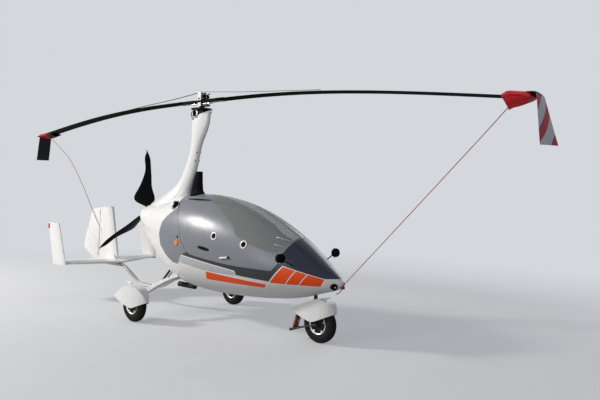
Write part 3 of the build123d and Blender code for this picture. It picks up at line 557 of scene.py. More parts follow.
ENGINE = Finish("engine_casting", (0.16, 0.16, 0.17), 0.5, metallic=0.6, mottle=0.3, relief=0.0006)
LAMINATE = Finish("seat_laminate", (0.09, 0.09, 0.095), 0.45, mottle=0.2, relief=0.0004)
LINER = Finish("cabin_liner", (0.22, 0.22, 0.23), 0.7, mottle=0.15, relief=0.0006)
HIDE = Finish("seat_cover", (0.045, 0.045, 0.05), 0.62, mottle=0.2, relief=0.0009, fine=260.0)
BELT = Cloth("belt_webbing", (0.03, 0.03, 0.035), 0.7, thread=500.0)
LAMP = Finish("lamp_lens", (0.50, 0.52, 0.53), 0.10, metallic=0.6, coat=1.0, fine=80.0, relief=0.001)
CAP_ORANGE = Finish("cap_orange", (0.75, 0.26, 0.03), 0.35, coat=0.3, mottle=0.15)
RED_LENS = Finish("tail_lens", (0.62, 0.07, 0.02), 0.15, coat=0.8)
SPRING_RED = Finish("spring_red", (0.38, 0.035, 0.025), 0.4, mottle=0.3, dirt=0.15)
CORD_RED = Cloth("cord_red", (0.42, 0.05, 0.07), 0.8, thread=900.0)
STRAP_GREY = Cloth("strap_grey", (0.20, 0.20, 0.22), 0.75, thread=700.0)
BAG_RED = Cloth(
    "bag_red", (0.62, 0.012, 0.018), 0.5, shine=0.3, thread=600.0,
    zones=((-3.80, -3.4, NEAR_BLACK),),
)
# Front flag: pale bands painted grey-blue and red bands darkened, painted shade of a flag lit from behind;
# near-black along its gathered top.
FLAG_BANDS_SHADED = Cloth(
    "flag_bands_painted_shade", (0.46, 0.49, 0.54), 0.6, thread=600.0,
    bands=((0.34, 0.018, 0.04), 0.130, 1.25, 2.177), hem=(2.397, (0.012, 0.012, 0.020)),
)
FLAG_BLACK = Cloth("flag_black", (0.008, 0.008, 0.010), 0.6, thread=600.0, shine=0.2)
DIAL = Finish("dial_face", (0.35, 0.36, 0.36), 0.2, coat=0.8)
# Near-black finish of vent holes, slots, inlets, the drain and the rudder's gap: painted shade inside them.
RECESS_SHADE = Finish("painted_recess_shade", (0.004, 0.004, 0.005), 0.8, shine=0.1)

# Finish of each solid that stays
NODE_FINISH: dict[str, Finish] = {
    "aft_cowl": WHITE, "mast_fairing": WHITE, "fin_left": WHITE, "fin_right": WHITE, "tailplane": WHITE,
    "centre_fin": WHITE, "rudder": WHITE, "spat_left": WHITE, "spat_right": WHITE, "spat_nose": WHITE,
    "gear_bow": WHITE, "hull": HULL, "nose_deck": DECK, "canopy_frame": SILVER, "canopy_glass": WINDOW,
    "engine_panel_left": SILVER, "engine_panel_right": SILVER, "mast_boot": BLACK, "cabin_tub": LINER,
    "control_sticks": BLACK, "engine_block": ENGINE, "exhaust": SOOTED, "instrument_panel": LAMINATE,
    "keel_struts": STEEL, "keel_tube": TUBE, "mirrors": BLACK, "nose_fork": STEEL, "nose_lights": BLACK,
    "nose_spring": SPRING_RED, "propeller": CARBON, "rim_left": WHEEL, "rim_nose": WHEEL,
    "rim_right": WHEEL, "rotor_head": STEEL, "rotor_hub": BLADE, "blade_front": BLADE,
    "blade_rear": BLADE, "seat_shells": LAMINATE, "seat_cushions": HIDE, "back_cushions": HIDE,
    "tip_bag_front": BAG_RED, "tip_bag_rear": BAG_RED, "tyre_left": RUBBER, "tyre_nose": RUBBER,
    "tyre_right": RUBBER,
}


# Shapes


@dataclass
class Form:
    """Points and faces of a surface.

    Attributes:
        points: Corners, one row each.
        quads: Four-sided faces by corner number.
        tris: Three-sided faces.
    """

    points: np.ndarray
    quads: np.ndarray
    tris: np.ndarray


Parts = list[tuple[Form, Finish]]
Pieces = list[bpy.types.Object]

OBLIQUE = (0.3, 0.5, 0.81)  # direction that no axis of the machine follows


def unit(vector: np.ndarray) -> np.ndarray:
    """Vectors at length one, along the last axis."""
    return vector / np.linalg.norm(vector, axis=-1, keepdims=True)


def angles(count: int, first: float = 0.0) -> np.ndarray:
    """Evenly spaced angles of one turn."""
    return np.linspace(0.0, TURN, count, endpoint=False) + first


def lattice(points: np.ndarray, around: bool = True, capped: bool = True) -> Form:
    """Surface through a grid of points: each face joins two neighbours of two rows.

    Args:
        points: Grid of rows by columns by xyz.
        around: Whether the last column meets the first.
        capped: Whether a fan from its middle closes the first and the last row.

    Returns:
        The surface.
    """
    rows, cols = points.shape[:2]
    number = np.arange(rows * cols).reshape(rows, cols)
    right = np.roll(number, -1, axis=1) if around else number[:, 1:]
    left = number if around else number[:, :-1]
    quads = np.stack([left[:-1], right[:-1], right[1:], left[1:]], axis=-1).reshape(-1, 4)
    flat = points.reshape(-1, 3)
    tris = np.zeros((0, 3), int)
    if capped and around:
        flat = np.concatenate([flat, points[0].mean(0)[None], points[-1].mean(0)[None]])
        first = np.stack([right[0], left[0], np.full(cols, rows * cols)], axis=1)
        last = np.stack([left[-1], right[-1], np.full(cols, rows * cols + 1)], axis=1)
        tris = np.concatenate([first, last])
    return Form(flat, quads, tris)


def ring(radius: float, steps: int = 12) -> np.ndarray:
    """Circle about the origin: radius times cosine and sine."""
    return radius * np.stack([np.cos(angles(steps)), np.sin(angles(steps))], axis=1)


def rounded(width: float, height: float, power: float = 5.0, steps: int = 24) -> np.ndarray:
    """Rounded rectangle: cosine and sine raised to 2 / power, which squares the circle off.

    Args:
        width: Its size sideways.
        height: Its size upwards.
        power: Squareness, 2 for an ellipse.
        steps: Points around.

    Returns:
        The points.
    """
    across, up = np.cos(angles(steps)), np.sin(angles(steps))
    x = np.sign(across) * np.abs(across) ** (2.0 / power)
    y = np.sign(up) * np.abs(up) ** (2.0 / power)
    return np.stack([x * width / 2.0, y * height / 2.0], axis=1)


def sweep(
    path: np.ndarray,
    section: np.ndarray,
    scale: np.ndarray | float = 1.0,
    up: Point = Axis.UP.value,
    closed: bool = False,
) -> Form:
    """Section carried along a path: each path point plus the section across its tangent.

    Args:
        path: Points along the path.
        section: Points of the section across it, first sideways and then upwards.
        scale: Size of the section at each path point.
        up: Direction that the section's height follows.
        closed: Whether the path's end meets its start.

    Returns:
        The surface, capped where the path is open.
    """
    path = np.asarray(path, float)
    if closed:
        along = unit(np.roll(path, -1, axis=0) - np.roll(path, 1, axis=0))
    else:
        along = unit(np.gradient(path, axis=0))
    side = unit(np.cross(along, np.array(up)))
    over = np.cross(side, along)
    sizes = np.broadcast_to(np.asarray(scale, float), (len(path),))[:, None, None]
    across = section[None, :, :1] * side[:, None] + section[None, :, 1:] * over[:, None]
    grid = path[:, None] + sizes * across
    if closed:
        grid = np.concatenate([grid, grid[:1]])
        return weld_rows(lattice(grid, True, False), len(section))
    return lattice(grid)


def weld_rows(form: Form, columns: int) -> Form:
    """Joins a closed path's last row to its first.

    Args:
        form: Surface whose last row repeats its first.
        columns: Points in a row.

    Returns:
        The surface without the repeated row.
    """
    keep = len(form.points) - columns
    return Form(form.points[:keep], form.quads % keep, form.tris)


def turned(profile: Profile, centre: Place, axis: Place, steps: int = 32) -> Form:
    """Profile turned about an axis: reach along the axis plus radius times cosine and sine.

    Args:
        profile: Points as reach along the axis and radius.
        centre: Point on the axis.
        axis: Direction of the axis.
        steps: Faces around.

    Returns:
        The surface, capped at both ends.
    """
    reach_radius = np.array(profile, float)
    along = unit(np.array(axis, float))
    aside = unit(np.cross(along, OBLIQUE))
    third = np.cross(along, aside)
    circle = np.cos(angles(steps))[:, None] * aside + np.sin(angles(steps))[:, None] * third
    spine = np.array(centre) + reach_radius[:, :1, None] * along
    return lattice(spine + reach_radius[:, 1:, None] * circle[None])


def hoop(profile: Profile, centre: Place, axis: Place, steps: int = 48) -> Form:
    """Closed ring: a closed profile of reach and radius turned about an axis.

    Args:
        profile: Points as reach along the axis and radius, round the ring's section.
        centre: Point on the axis.
        axis: Direction of the axis.
        steps: Faces around.

    Returns:
        The surface, open in its middle.
    """
    points = turned(profile, centre, axis, steps).points[:-2].reshape(len(profile), steps, 3)
    return weld_rows(lattice(np.concatenate([points, points[:1]]), True, False), steps)


def block(centre: Point, size: Point, forward: Point = Axis.FORWARD.value, power: float = 6.0) -> Form:
    """Box with rounded edges: superellipse rows that shrink towards both ends.

    Args:
        centre: Middle of the box.
        size: Length, width and height.
        forward: Direction of its length.
        power: Squareness.

    Returns:
        The surface.
    """
    reach = np.array([-0.5, -0.47, -0.4, 0.4, 0.47, 0.5])
    scale = np.array([0.86, 0.95, 1.0, 1.0, 0.95, 0.86])
    run = unit(np.array(forward, float))
    path = np.array(centre) + reach[:, None] * size[0] * run
    return sweep(path, rounded(size[1], size[2], power), scale, upwards(run))


def rod(start: Place, end: Place, radius: float, steps: int = 12) -> Form:
    """Round bar between two points, with softened ends.

    Args:
        start: First end.
        end: Other end.
        radius: Bar's radius.
        steps: Faces around.

    Returns:
        The surface.
    """
    a, b = np.array(start, float), np.array(end, float)
    share = np.array([0.0, 0.02, 0.98, 1.0])[:, None]
    ends = np.array([0.85, 1.0, 1.0, 0.85])
    return sweep(a + share * (b - a), ring(radius, steps), ends, upwards(unit(b - a)))


def upwards(run: np.ndarray) -> Point:
    """Direction that a straight bar's height follows: up, or forward where the bar stands."""
    return Axis.FORWARD.value if abs(run[2]) > 0.9 else Axis.UP.value


def smooth_path(points: Sequence[Point] | np.ndarray, count: int) -> np.ndarray:
    """Evenly read Catmull-Rom curve through points.

    Between two points it is the cubic that leaves each along the chord of its neighbours.

    Args:
        points: Points that the curve passes.
        count: Points that are read from it.

    Returns:
        The curve's points.
    """
    knots = np.array(points, float)
    padded = np.concatenate([[2 * knots[0] - knots[1]], knots, [2 * knots[-1] - knots[-2]]])
    at = np.linspace(0.0, len(knots) - 1 - 1e-9, count)
    index = at.astype(int)
    t = (at - index)[:, None]
    p0, p1, p2, p3 = (padded[index + shift] for shift in range(4))
    return 0.5 * (
        2 * p1 + (p2 - p0) * t + (2 * p0 - 5 * p1 + 4 * p2 - p3) * t**2
        + (3 * p1 - p0 - 3 * p2 + p3) * t**3
    )


def piece(name: str, forms: Parts, body: str | None, sharp: float = 35.0) -> bpy.types.Object:
    """One object from several surfaces, each with its finish.

    Args:
        name: Object name.
        forms: Surfaces and their finishes.
        body: Body that it rides on, or None where the caller ties it.
        sharp: Angle in degrees above which an edge is sharp.

    Returns:
        The object.
    """
    finishes = list(dict.fromkeys(finish for _, finish in forms))
    starts = np.cumsum([0] + [len(form.points) for form, _ in forms])
    points = np.concatenate([form.points for form, _ in forms])
    faces: list[list[int]] = []
    slots: list[int] = []
    for (form, finish), start in zip(forms, starts):
        faces += (form.quads + start).tolist() + (form.tris + start).tolist()
        slots += [finishes.index(finish)] * (len(form.quads) + len(form.tris))
    mesh = bpy.data.meshes.new(name)
    mesh.from_pydata(points.tolist(), [], faces)
    for finish in finishes:
        mesh.materials.append(finish.material())
    mesh.polygons.foreach_set("material_index", slots)
    mesh.update()
    mesh.shade_smooth()
    mesh.set_sharp_from_angle(angle=math.radians(sharp))
    made = bpy.data.objects.new(name, mesh)
    bpy.context.scene.collection.objects.link(made)
    outwards(made)
    if body:
        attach(made, body)
    log.info("%s: %d faces%s", name, len(faces), f" on {body}" if body else "")
    return made


def outwards(made: bpy.types.Object) -> None:
    """Turns the faces of each closed shell to the outside.

    Args:
        made: Object whose mesh is put right.
    """
    work = bmesh.new()
    work.from_mesh(made.data)
    bmesh.ops.recalc_face_normals(work, faces=work.faces)
    work.to_mesh(made.data)
    work.free()


def apply_all(made: bpy.types.Object) -> None:
    """Puts an object's modifiers into its mesh.

    Args:
        made: Object that gets the finished mesh.
    """
    graph = bpy.context.evaluated_depsgraph_get()
    result = bpy.data.meshes.new_from_object(made.evaluated_get(graph))
    made.modifiers.clear()
    made.data = result


def corners(made: bpy.types.Object) -> np.ndarray:
    """Corners of an object's mesh.

    Args:
        made: Object with a mesh.

    Returns:
        The corners, one row each.
    """
    flat = np.empty(len(made.data.vertices) * 3)
    made.data.vertices.foreach_get("co", flat)
    return flat.reshape(-1, 3)


def on_skin(node: str, x: float, z: float, side: Side, lift: float = 0.0) -> tuple[np.ndarray, np.ndarray]:
    """Where a line across the machine meets a solid's skin.

    Args:
        node: Solid that carries the fitting.
        x: Place along the machine.
        z: Height.
        side: Side from which it is met.
        lift: Distance off the skin.

    Returns:
        The point and the outward direction there.

    Raises:
        ValueError: Where the line misses the solid.
    """
    start = Vector((x, 2.0 * side.value, z))
    hit, point, normal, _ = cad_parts[node].ray_cast(start, Vector((0.0, -side.value, 0.0)))
    if not hit:
        raise ValueError(f"no skin of {node} at x {x}, z {z}")
    outward = np.array(normal)
    if outward[1] * side.value < 0:
        outward = -outward
    return np.array(point) + lift * outward, outward


def skin_line(node: str, ends: Outline, side: Side, count: int, lift: float) -> np.ndarray:
    """Points on a solid's skin along a straight line seen from the side.

    Args:
        node: Solid that carries the fitting.
        ends: The line's ends as (x, z).
        side: Side from which it is met.
        count: Points along it.
        lift: Distance off the skin.

    Returns:
        The points.
    """
    start, end = np.array(ends)
    line = start + np.linspace(0.0, 1.0, count)[:, None] * (end - start)
    return np.array([on_skin(node, x, z, side, lift)[0] for x, z in line])


# Sub-assemblies


@dataclass
class Panels:
    """The solids that keep their shape and take a finish."""

    def dress(self) -> None:
        """Gives every solid its finish."""
        for name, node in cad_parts.items():
            node.data.materials.clear()
            node.data.materials.append(NODE_FINISH[name].material())
            log.info("%s: %s", name, NODE_FINISH[name].name)


@dataclass
class Wheel:
    """A wheel's ribbed tyre, the lip and spokes of its rim, its bolts and its valve.

    Reaches are along the axle from the wheel's middle.

    Attributes:
        name: Node suffix.
        body: Body that turns.
        x: Axle's place along the machine.
        y: Middle of the tyre across it.
        radius: Tyre's outer radius.
        steps: Faces round the tyre.
        wall: Half of the tyre's side wall as (reach, radius), from the bead to the shoulder.
        tread: Half of its tread, from the shoulder to the middle.
        lip: Section of the rim's lip as (reach, radius).
        hub: Section of the hub's face.
        arms: Spokes of the rim.
        first_arm: Angle of the first spoke.
        arm_run: Radius, reach and relative size at points along a spoke.
        arm_section: Width and thickness of a spoke.
        bolts: Bolts round the hub.
        bolt_circle: Radius of their circle.
        bolt_seat: Reach of their heads.
        bolt_head: Section of a head.
        valve: Radius and reach of the valve stem's two ends.
    """

    name: str
    body: str
    x: float
    y: float
    radius: float = 0.200
    steps: int = 48
    wall: Outline = (
        (0.040, 0.106), (0.046, 0.118), (0.050, 0.142), (0.0485, 0.158), (0.042, 0.176), (0.034, 0.189),
    )
    tread: Outline = (
        (0.030, 0.193), (0.027, 0.196), (0.014, 0.1985), (0.012, 0.194), (0.0095, 0.194), (0.0075, 0.1995),
    )
    lip: Outline = (
        (0.020, 0.086), (0.034, 0.087), (0.041, 0.094), (0.044, 0.101), (0.0465, 0.105),
        (0.0465, 0.1075), (0.043, 0.1080), (0.030, 0.1055), (0.020, 0.098),
    )
    hub: Outline = ((0.020, 0.034), (0.030, 0.032), (0.034, 0.026), (0.034, 0.012), (0.030, 0.010))
    arms: int = 5
    first_arm: float = 0.35
    arm_run: Sequence[Point] = (
        (0.026, 0.026, 0.9), (0.030, 0.029, 1.0), (0.060, 0.034, 0.72), (0.086, 0.037, 0.95),
        (0.092, 0.038, 1.1),
    )
    arm_section: tuple[float, float] = (0.026, 0.010)
    bolts: int = 6
    bolt_circle: float = 0.024
    bolt_seat: float = 0.0305
    bolt_head: Outline = ((0.0, 0.0045), (0.003, 0.0045), (0.004, 0.003))
    valve: Outline = ((0.086, 0.030), (0.080, 0.052))

    @property
    def centre(self) -> Point:
        """Middle of the wheel."""
        return (self.x, self.y, self.radius)

    def section(self) -> np.ndarray:
        """Tyre profile from one bead over the ribbed tread to the other: a half and its mirror."""
        half = np.array([*self.wall, *self.tread])
        return np.concatenate([half * (-1, 1), half[::-1]])

    def build(self) -> Pieces:
        """Makes the tyre in place of its solid, and the fittings of the wheel.

        Returns:
            The pieces.
        """
        tyre = turned(self.section(), self.centre, Axis.PORT.value, self.steps)
        rubber = piece(f"ribbed_tyre_{self.name}", [(tyre, RUBBER)], self.body, 25.0)
        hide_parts(f"tyre_{self.name}")
        forms = self.outer_face() + self.spokes()
        return [rubber, piece(f"wheel_fittings_{self.name}", forms, self.body)]

    def outer_face(self) -> Parts:
        """Valve stem and hub bolts on the face away from the machine.

        Returns:
            The surfaces and their finishes.
        """
        out = 1.0 if self.y > 0 else -1.0
        stem = [(self.x + radius, self.y + out * reach, self.radius) for radius, reach in self.valve]
        forms: Parts = [(rod(*stem, 0.0035, 8), BLACK)]
        for turn in angles(self.bolts, 0.5):
            place = np.array((math.cos(turn), 0.0, math.sin(turn))) * self.bolt_circle
            seat = np.array(self.centre) + place + (0.0, out * self.bolt_seat, 0.0)
            forms.append((turned(self.bolt_head, seat, (0, out, 0), 6), STEEL))
        return forms

    def spokes(self) -> Parts:
        """Bright lip and tapered spokes on both faces of the rim.

        The lip is a profile turned about the axle; each spoke runs out from the hub to it.

        Returns:
            The surfaces and their finishes.
        """
        forms: Parts = []
        reach, rise, size = np.array(self.arm_run).T
        for out in (-1.0, 1.0):
            forms.append((hoop(self.lip, self.centre, (0, out, 0)), WHEEL))
            forms.append((turned(self.hub, self.centre, (0, out, 0), 32), STEEL))
            for turn in angles(self.arms, self.first_arm):
                run = np.array((math.cos(turn), 0.0, math.sin(turn)))
                path = np.array(self.centre) + reach[:, None] * run + rise[:, None] * (0.0, out, 0.0)
                bar = rounded(*self.arm_section, 4.0, 16)
                forms.append((sweep(path, bar, size, Axis.PORT.value), WHEEL))
        return forms


@dataclass
class NoseSpring:
    """Coil spring on the nose leg, in place of its ridged sleeve.

    Attributes:
        foot: Pivot at the leg's lower end.
        top: Leg's upper end.
        start: Reach of the first coil along the leg.
        length: Spring's length.
        coils: Turns.
        radius: Radius to the wire's middle.
        wire: Wire radius.
        closing: Share of the length by which the end turns lie closer.
        points: Points along the wire.
        sleeve: Section of the damper's body as (reach along the leg, radius).
    """

    foot: Point = (1.618, 0.0, 0.098)
    top: Point = (1.672, 0.0, 0.262)
    start: float = 0.026
    length: float = 0.118
    coils: float = 5.6
    radius: float = 0.0275
    wire: float = 0.0055
    closing: float = 0.035
    points: int = 150
    sleeve: Outline = ((0.028, 0.014), (0.030, 0.0175), (0.085, 0.0175), (0.088, 0.015), (0.140, 0.015))

    def build(self) -> Pieces:
        """Makes the wire and its damper body.

        The wire's centre runs round the leg while it climbs, with closed end turns.

        Returns:
            The pieces.
        """
        foot, port = np.array(self.foot), np.array(Axis.PORT.value)
        along = unit(np.array(self.top) - foot)
        aside = np.cross(port, along)
        t = np.linspace(0.0, 1.0, self.points)
        turn = TURN * self.coils * t
        even = t - self.closing * np.sin(TURN * t)
        climb = self.start + self.wire + (self.length - 2 * self.wire) * even
        round_leg = np.cos(turn)[:, None] * aside + np.sin(turn)[:, None] * port
        wire = foot + climb[:, None] * along + self.radius * round_leg
        coil = sweep(wire, ring(self.wire, 8), 1.0, tuple(along))
        spring = piece("nose_coil_spring", [(coil, SPRING_RED)], "nose_gear", 60.0)
        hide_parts("nose_spring")
        body = turned(self.sleeve, self.foot, along, 20)
        return [spring, piece("nose_damper", [(body, BLACK)], "nose_gear")]


@dataclass
class RotorHead:
    """Control rods, gimbal and pre-rotator on the mast, and the hub's plates.

    Attributes:
        hub: Height of the hub bar.
        rods: Distance of the control rods to either side.
        motor: Foot of the pre-rotator's motor.
        spindle: Height of the sleeve round the spindle.
        teeth: Teeth of the drive disc.
        disc: Mean radius of the teeth.
        tooth: Half of a tooth's height.
        disc_rows: Heights of the disc's lower face, its edges and its upper face.
        cheeks: Distance of the tower's cheek plates to either side.
        pin: Height of the teeter pin.
        bolts: Distances of the blade bolts from the hub's middle.
        strap_lift: How far the blade straps lie above and below the hub bar.
    """

    hub: float = 2.665
    rods: float = 0.056
    motor: Point = (-0.060, -0.060, 2.480)
    spindle: float = 2.508
    teeth: int = 48
    disc: float = 0.1268
    tooth: float = 0.0022
    disc_rows: Sequence[float] = (2.5635, 2.565, 2.574, 2.5755)
    cheeks: float = 0.0405
    pin: float = 2.700
    bolts: Sequence[float] = (0.16, 0.20, 0.29, 0.33, 0.37)
    strap_lift: float = 0.0185

    def control_rods(self) -> Parts:
        """Rods, rod ends and gimbal arms on both sides.

        Returns:
            The surfaces and their finishes.
        """
        forms: Parts = []
        ball = ((-0.008, 0.008), (-0.006, 0.013), (0.006, 0.013), (0.008, 0.008))
        for y in (-self.rods, self.rods):
            forms.append((rod((-0.122, y, 2.440), (-0.088, y, 2.545), 0.0065), WHITE))
            forms.append((turned(ball, (-0.088, y, 2.545), Axis.PORT.value, 14), STEEL))
            forms.append((rod((-0.055, y, 2.462), (-0.020, y, 2.530), 0.006), WHITE))
            forms.append((turned(ball, (-0.020, y, 2.532), Axis.PORT.value, 14), BRIGHT))
            forms.append((block((0.030, y * 0.80, 2.538), (0.10, 0.010, 0.036)), STEEL))
            forms.append((block((-0.058, y * 0.94, 2.556), (0.085, 0.012, 0.014)), WHITE))
        return forms

    def fixed(self) -> bpy.types.Object:
        """Parts that stay with the mast: rods, motor, spindle sleeve, beams and a hose.

        Returns:
            The piece.
        """
        forms = self.control_rods()
        x, y, z = self.motor
        can = ((0.0, 0.018), (0.003, 0.022), (0.058, 0.022), (0.062, 0.016), (0.072, 0.008))
        flange = ((0.0, 0.024), (0.006, 0.025), (0.009, 0.022))
        pinion = ((0.0, 0.020), (0.004, 0.024), (0.026, 0.024), (0.030, 0.020))
        sleeve = ((0.0, 0.040), (0.004, 0.046), (0.046, 0.046), (0.050, 0.040))
        forms += [
            (turned(can, self.motor, Axis.UP.value, 20), BLACK),
            (turned(flange, (x, y, z - 0.006), Axis.UP.value, 20), BRIGHT),
            (turned(pinion, (0.118, 0.0, 2.524), Axis.UP.value, 20), BLACK),
            (block((0.055, 0.0, 2.530), (0.14, 0.05, 0.030)), STEEL),
            (block((-0.012, -0.062, 2.512), (0.020, 0.008, 0.040)), BRIGHT),
            (turned(sleeve, (0.0, 0.0, self.spindle), Axis.UP.value, 28), BLACK),
            (block((-0.105, 0.0, 2.520), (0.050, 0.080, 0.050)), BLACK),
        ]
        hose = [(-0.10, -0.048, 2.445), (-0.128, -0.055, 2.490), (-0.118, -0.058, 2.535), (x, y, 2.552)]
        forms.append((sweep(smooth_path(hose, 24), ring(0.005, 8)), BLACK))
        return piece("head_controls", forms, "airframe")

    def drive_disc(self) -> Form:
        """Toothed disc: a circle whose radius jumps with the sign of a sine, in flat rows.

        Returns:
            The surface.
        """
        turn = angles(4 * self.teeth)
        radius = self.disc + self.tooth * np.sign(np.sin(self.teeth * turn))
        rows = np.array(self.disc_rows)[:, None]
        grid = np.broadcast_arrays(radius * np.cos(turn), radius * np.sin(turn), rows)
        return lattice(np.stack(grid, axis=-1))

    def turning(self) -> bpy.types.Object:
        """Parts that turn: disc teeth, cheek plates, blade straps and bolts.

        Returns:
            The piece.
        """
        forms: Parts = [(self.drive_disc(), STEEL)]
        for y in (-self.cheeks, self.cheeks):
            forms.append((block((0.002, y, 2.688), (0.060, 0.008, 0.176)), WHITE))
        half_bolt = ((0.030, 0.004), (0.029, 0.008), (0.0225, 0.008), (0.022, 0.005))
        bolt = [(-reach, radius) for reach, radius in half_bolt] + list(half_bolt[::-1])
        for turn in (-1.0, 1.0):
            for lift in (-self.strap_lift, self.strap_lift):
                forms.append((block((turn * 0.27, 0.0, self.hub + lift), (0.30, 0.070, 0.007)), STEEL))
                root = (turn * 0.115, 0.0, self.hub - 0.012 + lift)
                forms.append((block(root, (0.14, 0.062, 0.008)), BRIGHT))
            for x in self.bolts:
                forms.append((turned(bolt, (turn * x, 0.0, self.hub), Axis.UP.value, 6), BRIGHT))
        half_pin = ((0.052, 0.007), (0.050, 0.012), (0.043, 0.012))
        pin = [(-reach, radius) for reach, radius in half_pin] + list(half_pin[::-1])
        forms.append((turned(pin, (0.0, 0.0, self.pin), Axis.PORT.value, 16), STEEL))
        knob = ((0.0, 0.012), (0.004, 0.018), (0.030, 0.019), (0.040, 0.010))
        for y in (-0.030, 0.030):
            forms.append((turned(knob, (0.080, y, self.pin), Axis.UP.value, 16), BLACK))
            forms.append((rod((0.030, y, 2.735), (0.115, y, 2.758), 0.007), STEEL))
        forms.append((block((0.060, 0.0, self.pin), (0.07, 0.070, 0.016)), STEEL))
        forms.append((block((0.085, 0.0, 2.612), (0.09, 0.060, 0.024)), STEEL))
        return piece("hub_fittings", forms, "rotor")

    def build(self) -> Pieces:
        """Makes both groups."""
        return [self.fixed(), self.turning()]


@dataclass
class Rigging:
    """Strap over the head and the cords that tie the blades down.

    Attributes:
        cord: Cord radius.
        strap: Strap width and thickness.
        strap_run: Front half of the strap's route as (x, z), from the tower outwards.
        strap_back: Rear half of it.
        front_run: Route of the front cord from the bag down to the nose as (x, z).
        rear_run: Route of the rear cord from the bag down to the keel.
        rear_side: How far the rear cord runs to port.
        eye: Middle of the knot at the nose.
        knot_size: Reach of one loop of the knot along, across and up.
    """

    cord: float = 0.004
    strap: tuple[float, float] = (0.025, 0.003)
    strap_run: Outline = ((0.06, 2.782), (0.425, 2.752), (0.77, 2.722), (1.90, 2.645))
    strap_back: Outline = ((-0.06, 2.782), (-0.54, 2.738), (-1.08, 2.704), (-1.90, 2.645))
    front_run: Outline = ((3.918, 2.322), (3.67, 2.065), (2.9, 1.285), (2.235, 0.615))
    rear_run: Outline = (
        (-3.745, 2.345), (-3.43, 2.175), (-3.11, 1.97), (-2.75, 1.60), (-2.38, 1.14), (-2.05, 0.79),
        (-1.72, 0.485),
    )
    rear_side: float = -0.03
    eye: Point = (2.248, 0.0, 0.610)
    knot_size: Point = (0.006, 0.0075, 0.012)

    def webbing(self) -> bpy.types.Object:
        """Taut webbing from blade to blade over the teeter tower.

        Returns:
            The piece.
        """
        route = [*self.strap_back[::-1], (0.0, 2.786), *self.strap_run]
        path = smooth_path([(x, 0.0, z) for x, z in route], 90)
        web = sweep(path, rounded(*self.strap, 6.0, 16))
        return piece("blade_strap", [(web, STRAP_GREY)], "rotor")

    def tie(self, name: str, points: Sequence[Point]) -> bpy.types.Object:
        """A taut cord from a blade bag down to the airframe.

        Args:
            name: Piece name.
            points: Route from the bag down.

        Returns:
            The piece, running from the rotor down to the airframe, tied to no body.
        """
        line = sweep(smooth_path(points, 60), ring(self.cord, 8))
        made = piece(name, [(line, CORD_RED)], None, 60.0)
        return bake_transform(made)

    def knot(self) -> bpy.types.Object:
        """Knotted end of the front cord on the eye at the nose tip.

        A trefoil: the tube winds twice about its ring while it crosses itself three times.

        Returns:
            The piece.
        """
        t = angles(90)
        ringed = np.stack(
            [np.sin(t) + 2 * np.sin(2 * t), np.cos(t) - 2 * np.cos(2 * t), -np.sin(3 * t)], axis=1
        )
        path = np.array(self.eye) + ringed * self.knot_size
        tangle = sweep(path, ring(0.0048, 8), 1.0, (0.35, 0.2, 0.9), closed=True)
        tail = smooth_path(
            [(2.248, -0.008, 0.600), (2.240, -0.028, 0.575), (2.226, -0.046, 0.556), (2.205, -0.05, 0.548)],
            20,
        )
        forms = [(tangle, CORD_RED), (sweep(tail, ring(0.0045, 8)), CORD_RED)]
        return piece("nose_knot", forms, "airframe", 60.0)

    def build(self) -> Pieces:
        """Makes the strap, both cords and the knot.

        Returns:
            The pieces.
        """
        front = self.tie("tie_cord_front", [(x, 0.0, z) for x, z in self.front_run])
        rear_points = [(x, self.rear_side, z) for x, z in self.rear_run] + [(-1.63, -0.026, 0.455)]
        rear = self.tie("tie_cord_rear", rear_points)
        return [self.webbing(), front, rear, self.knot()]


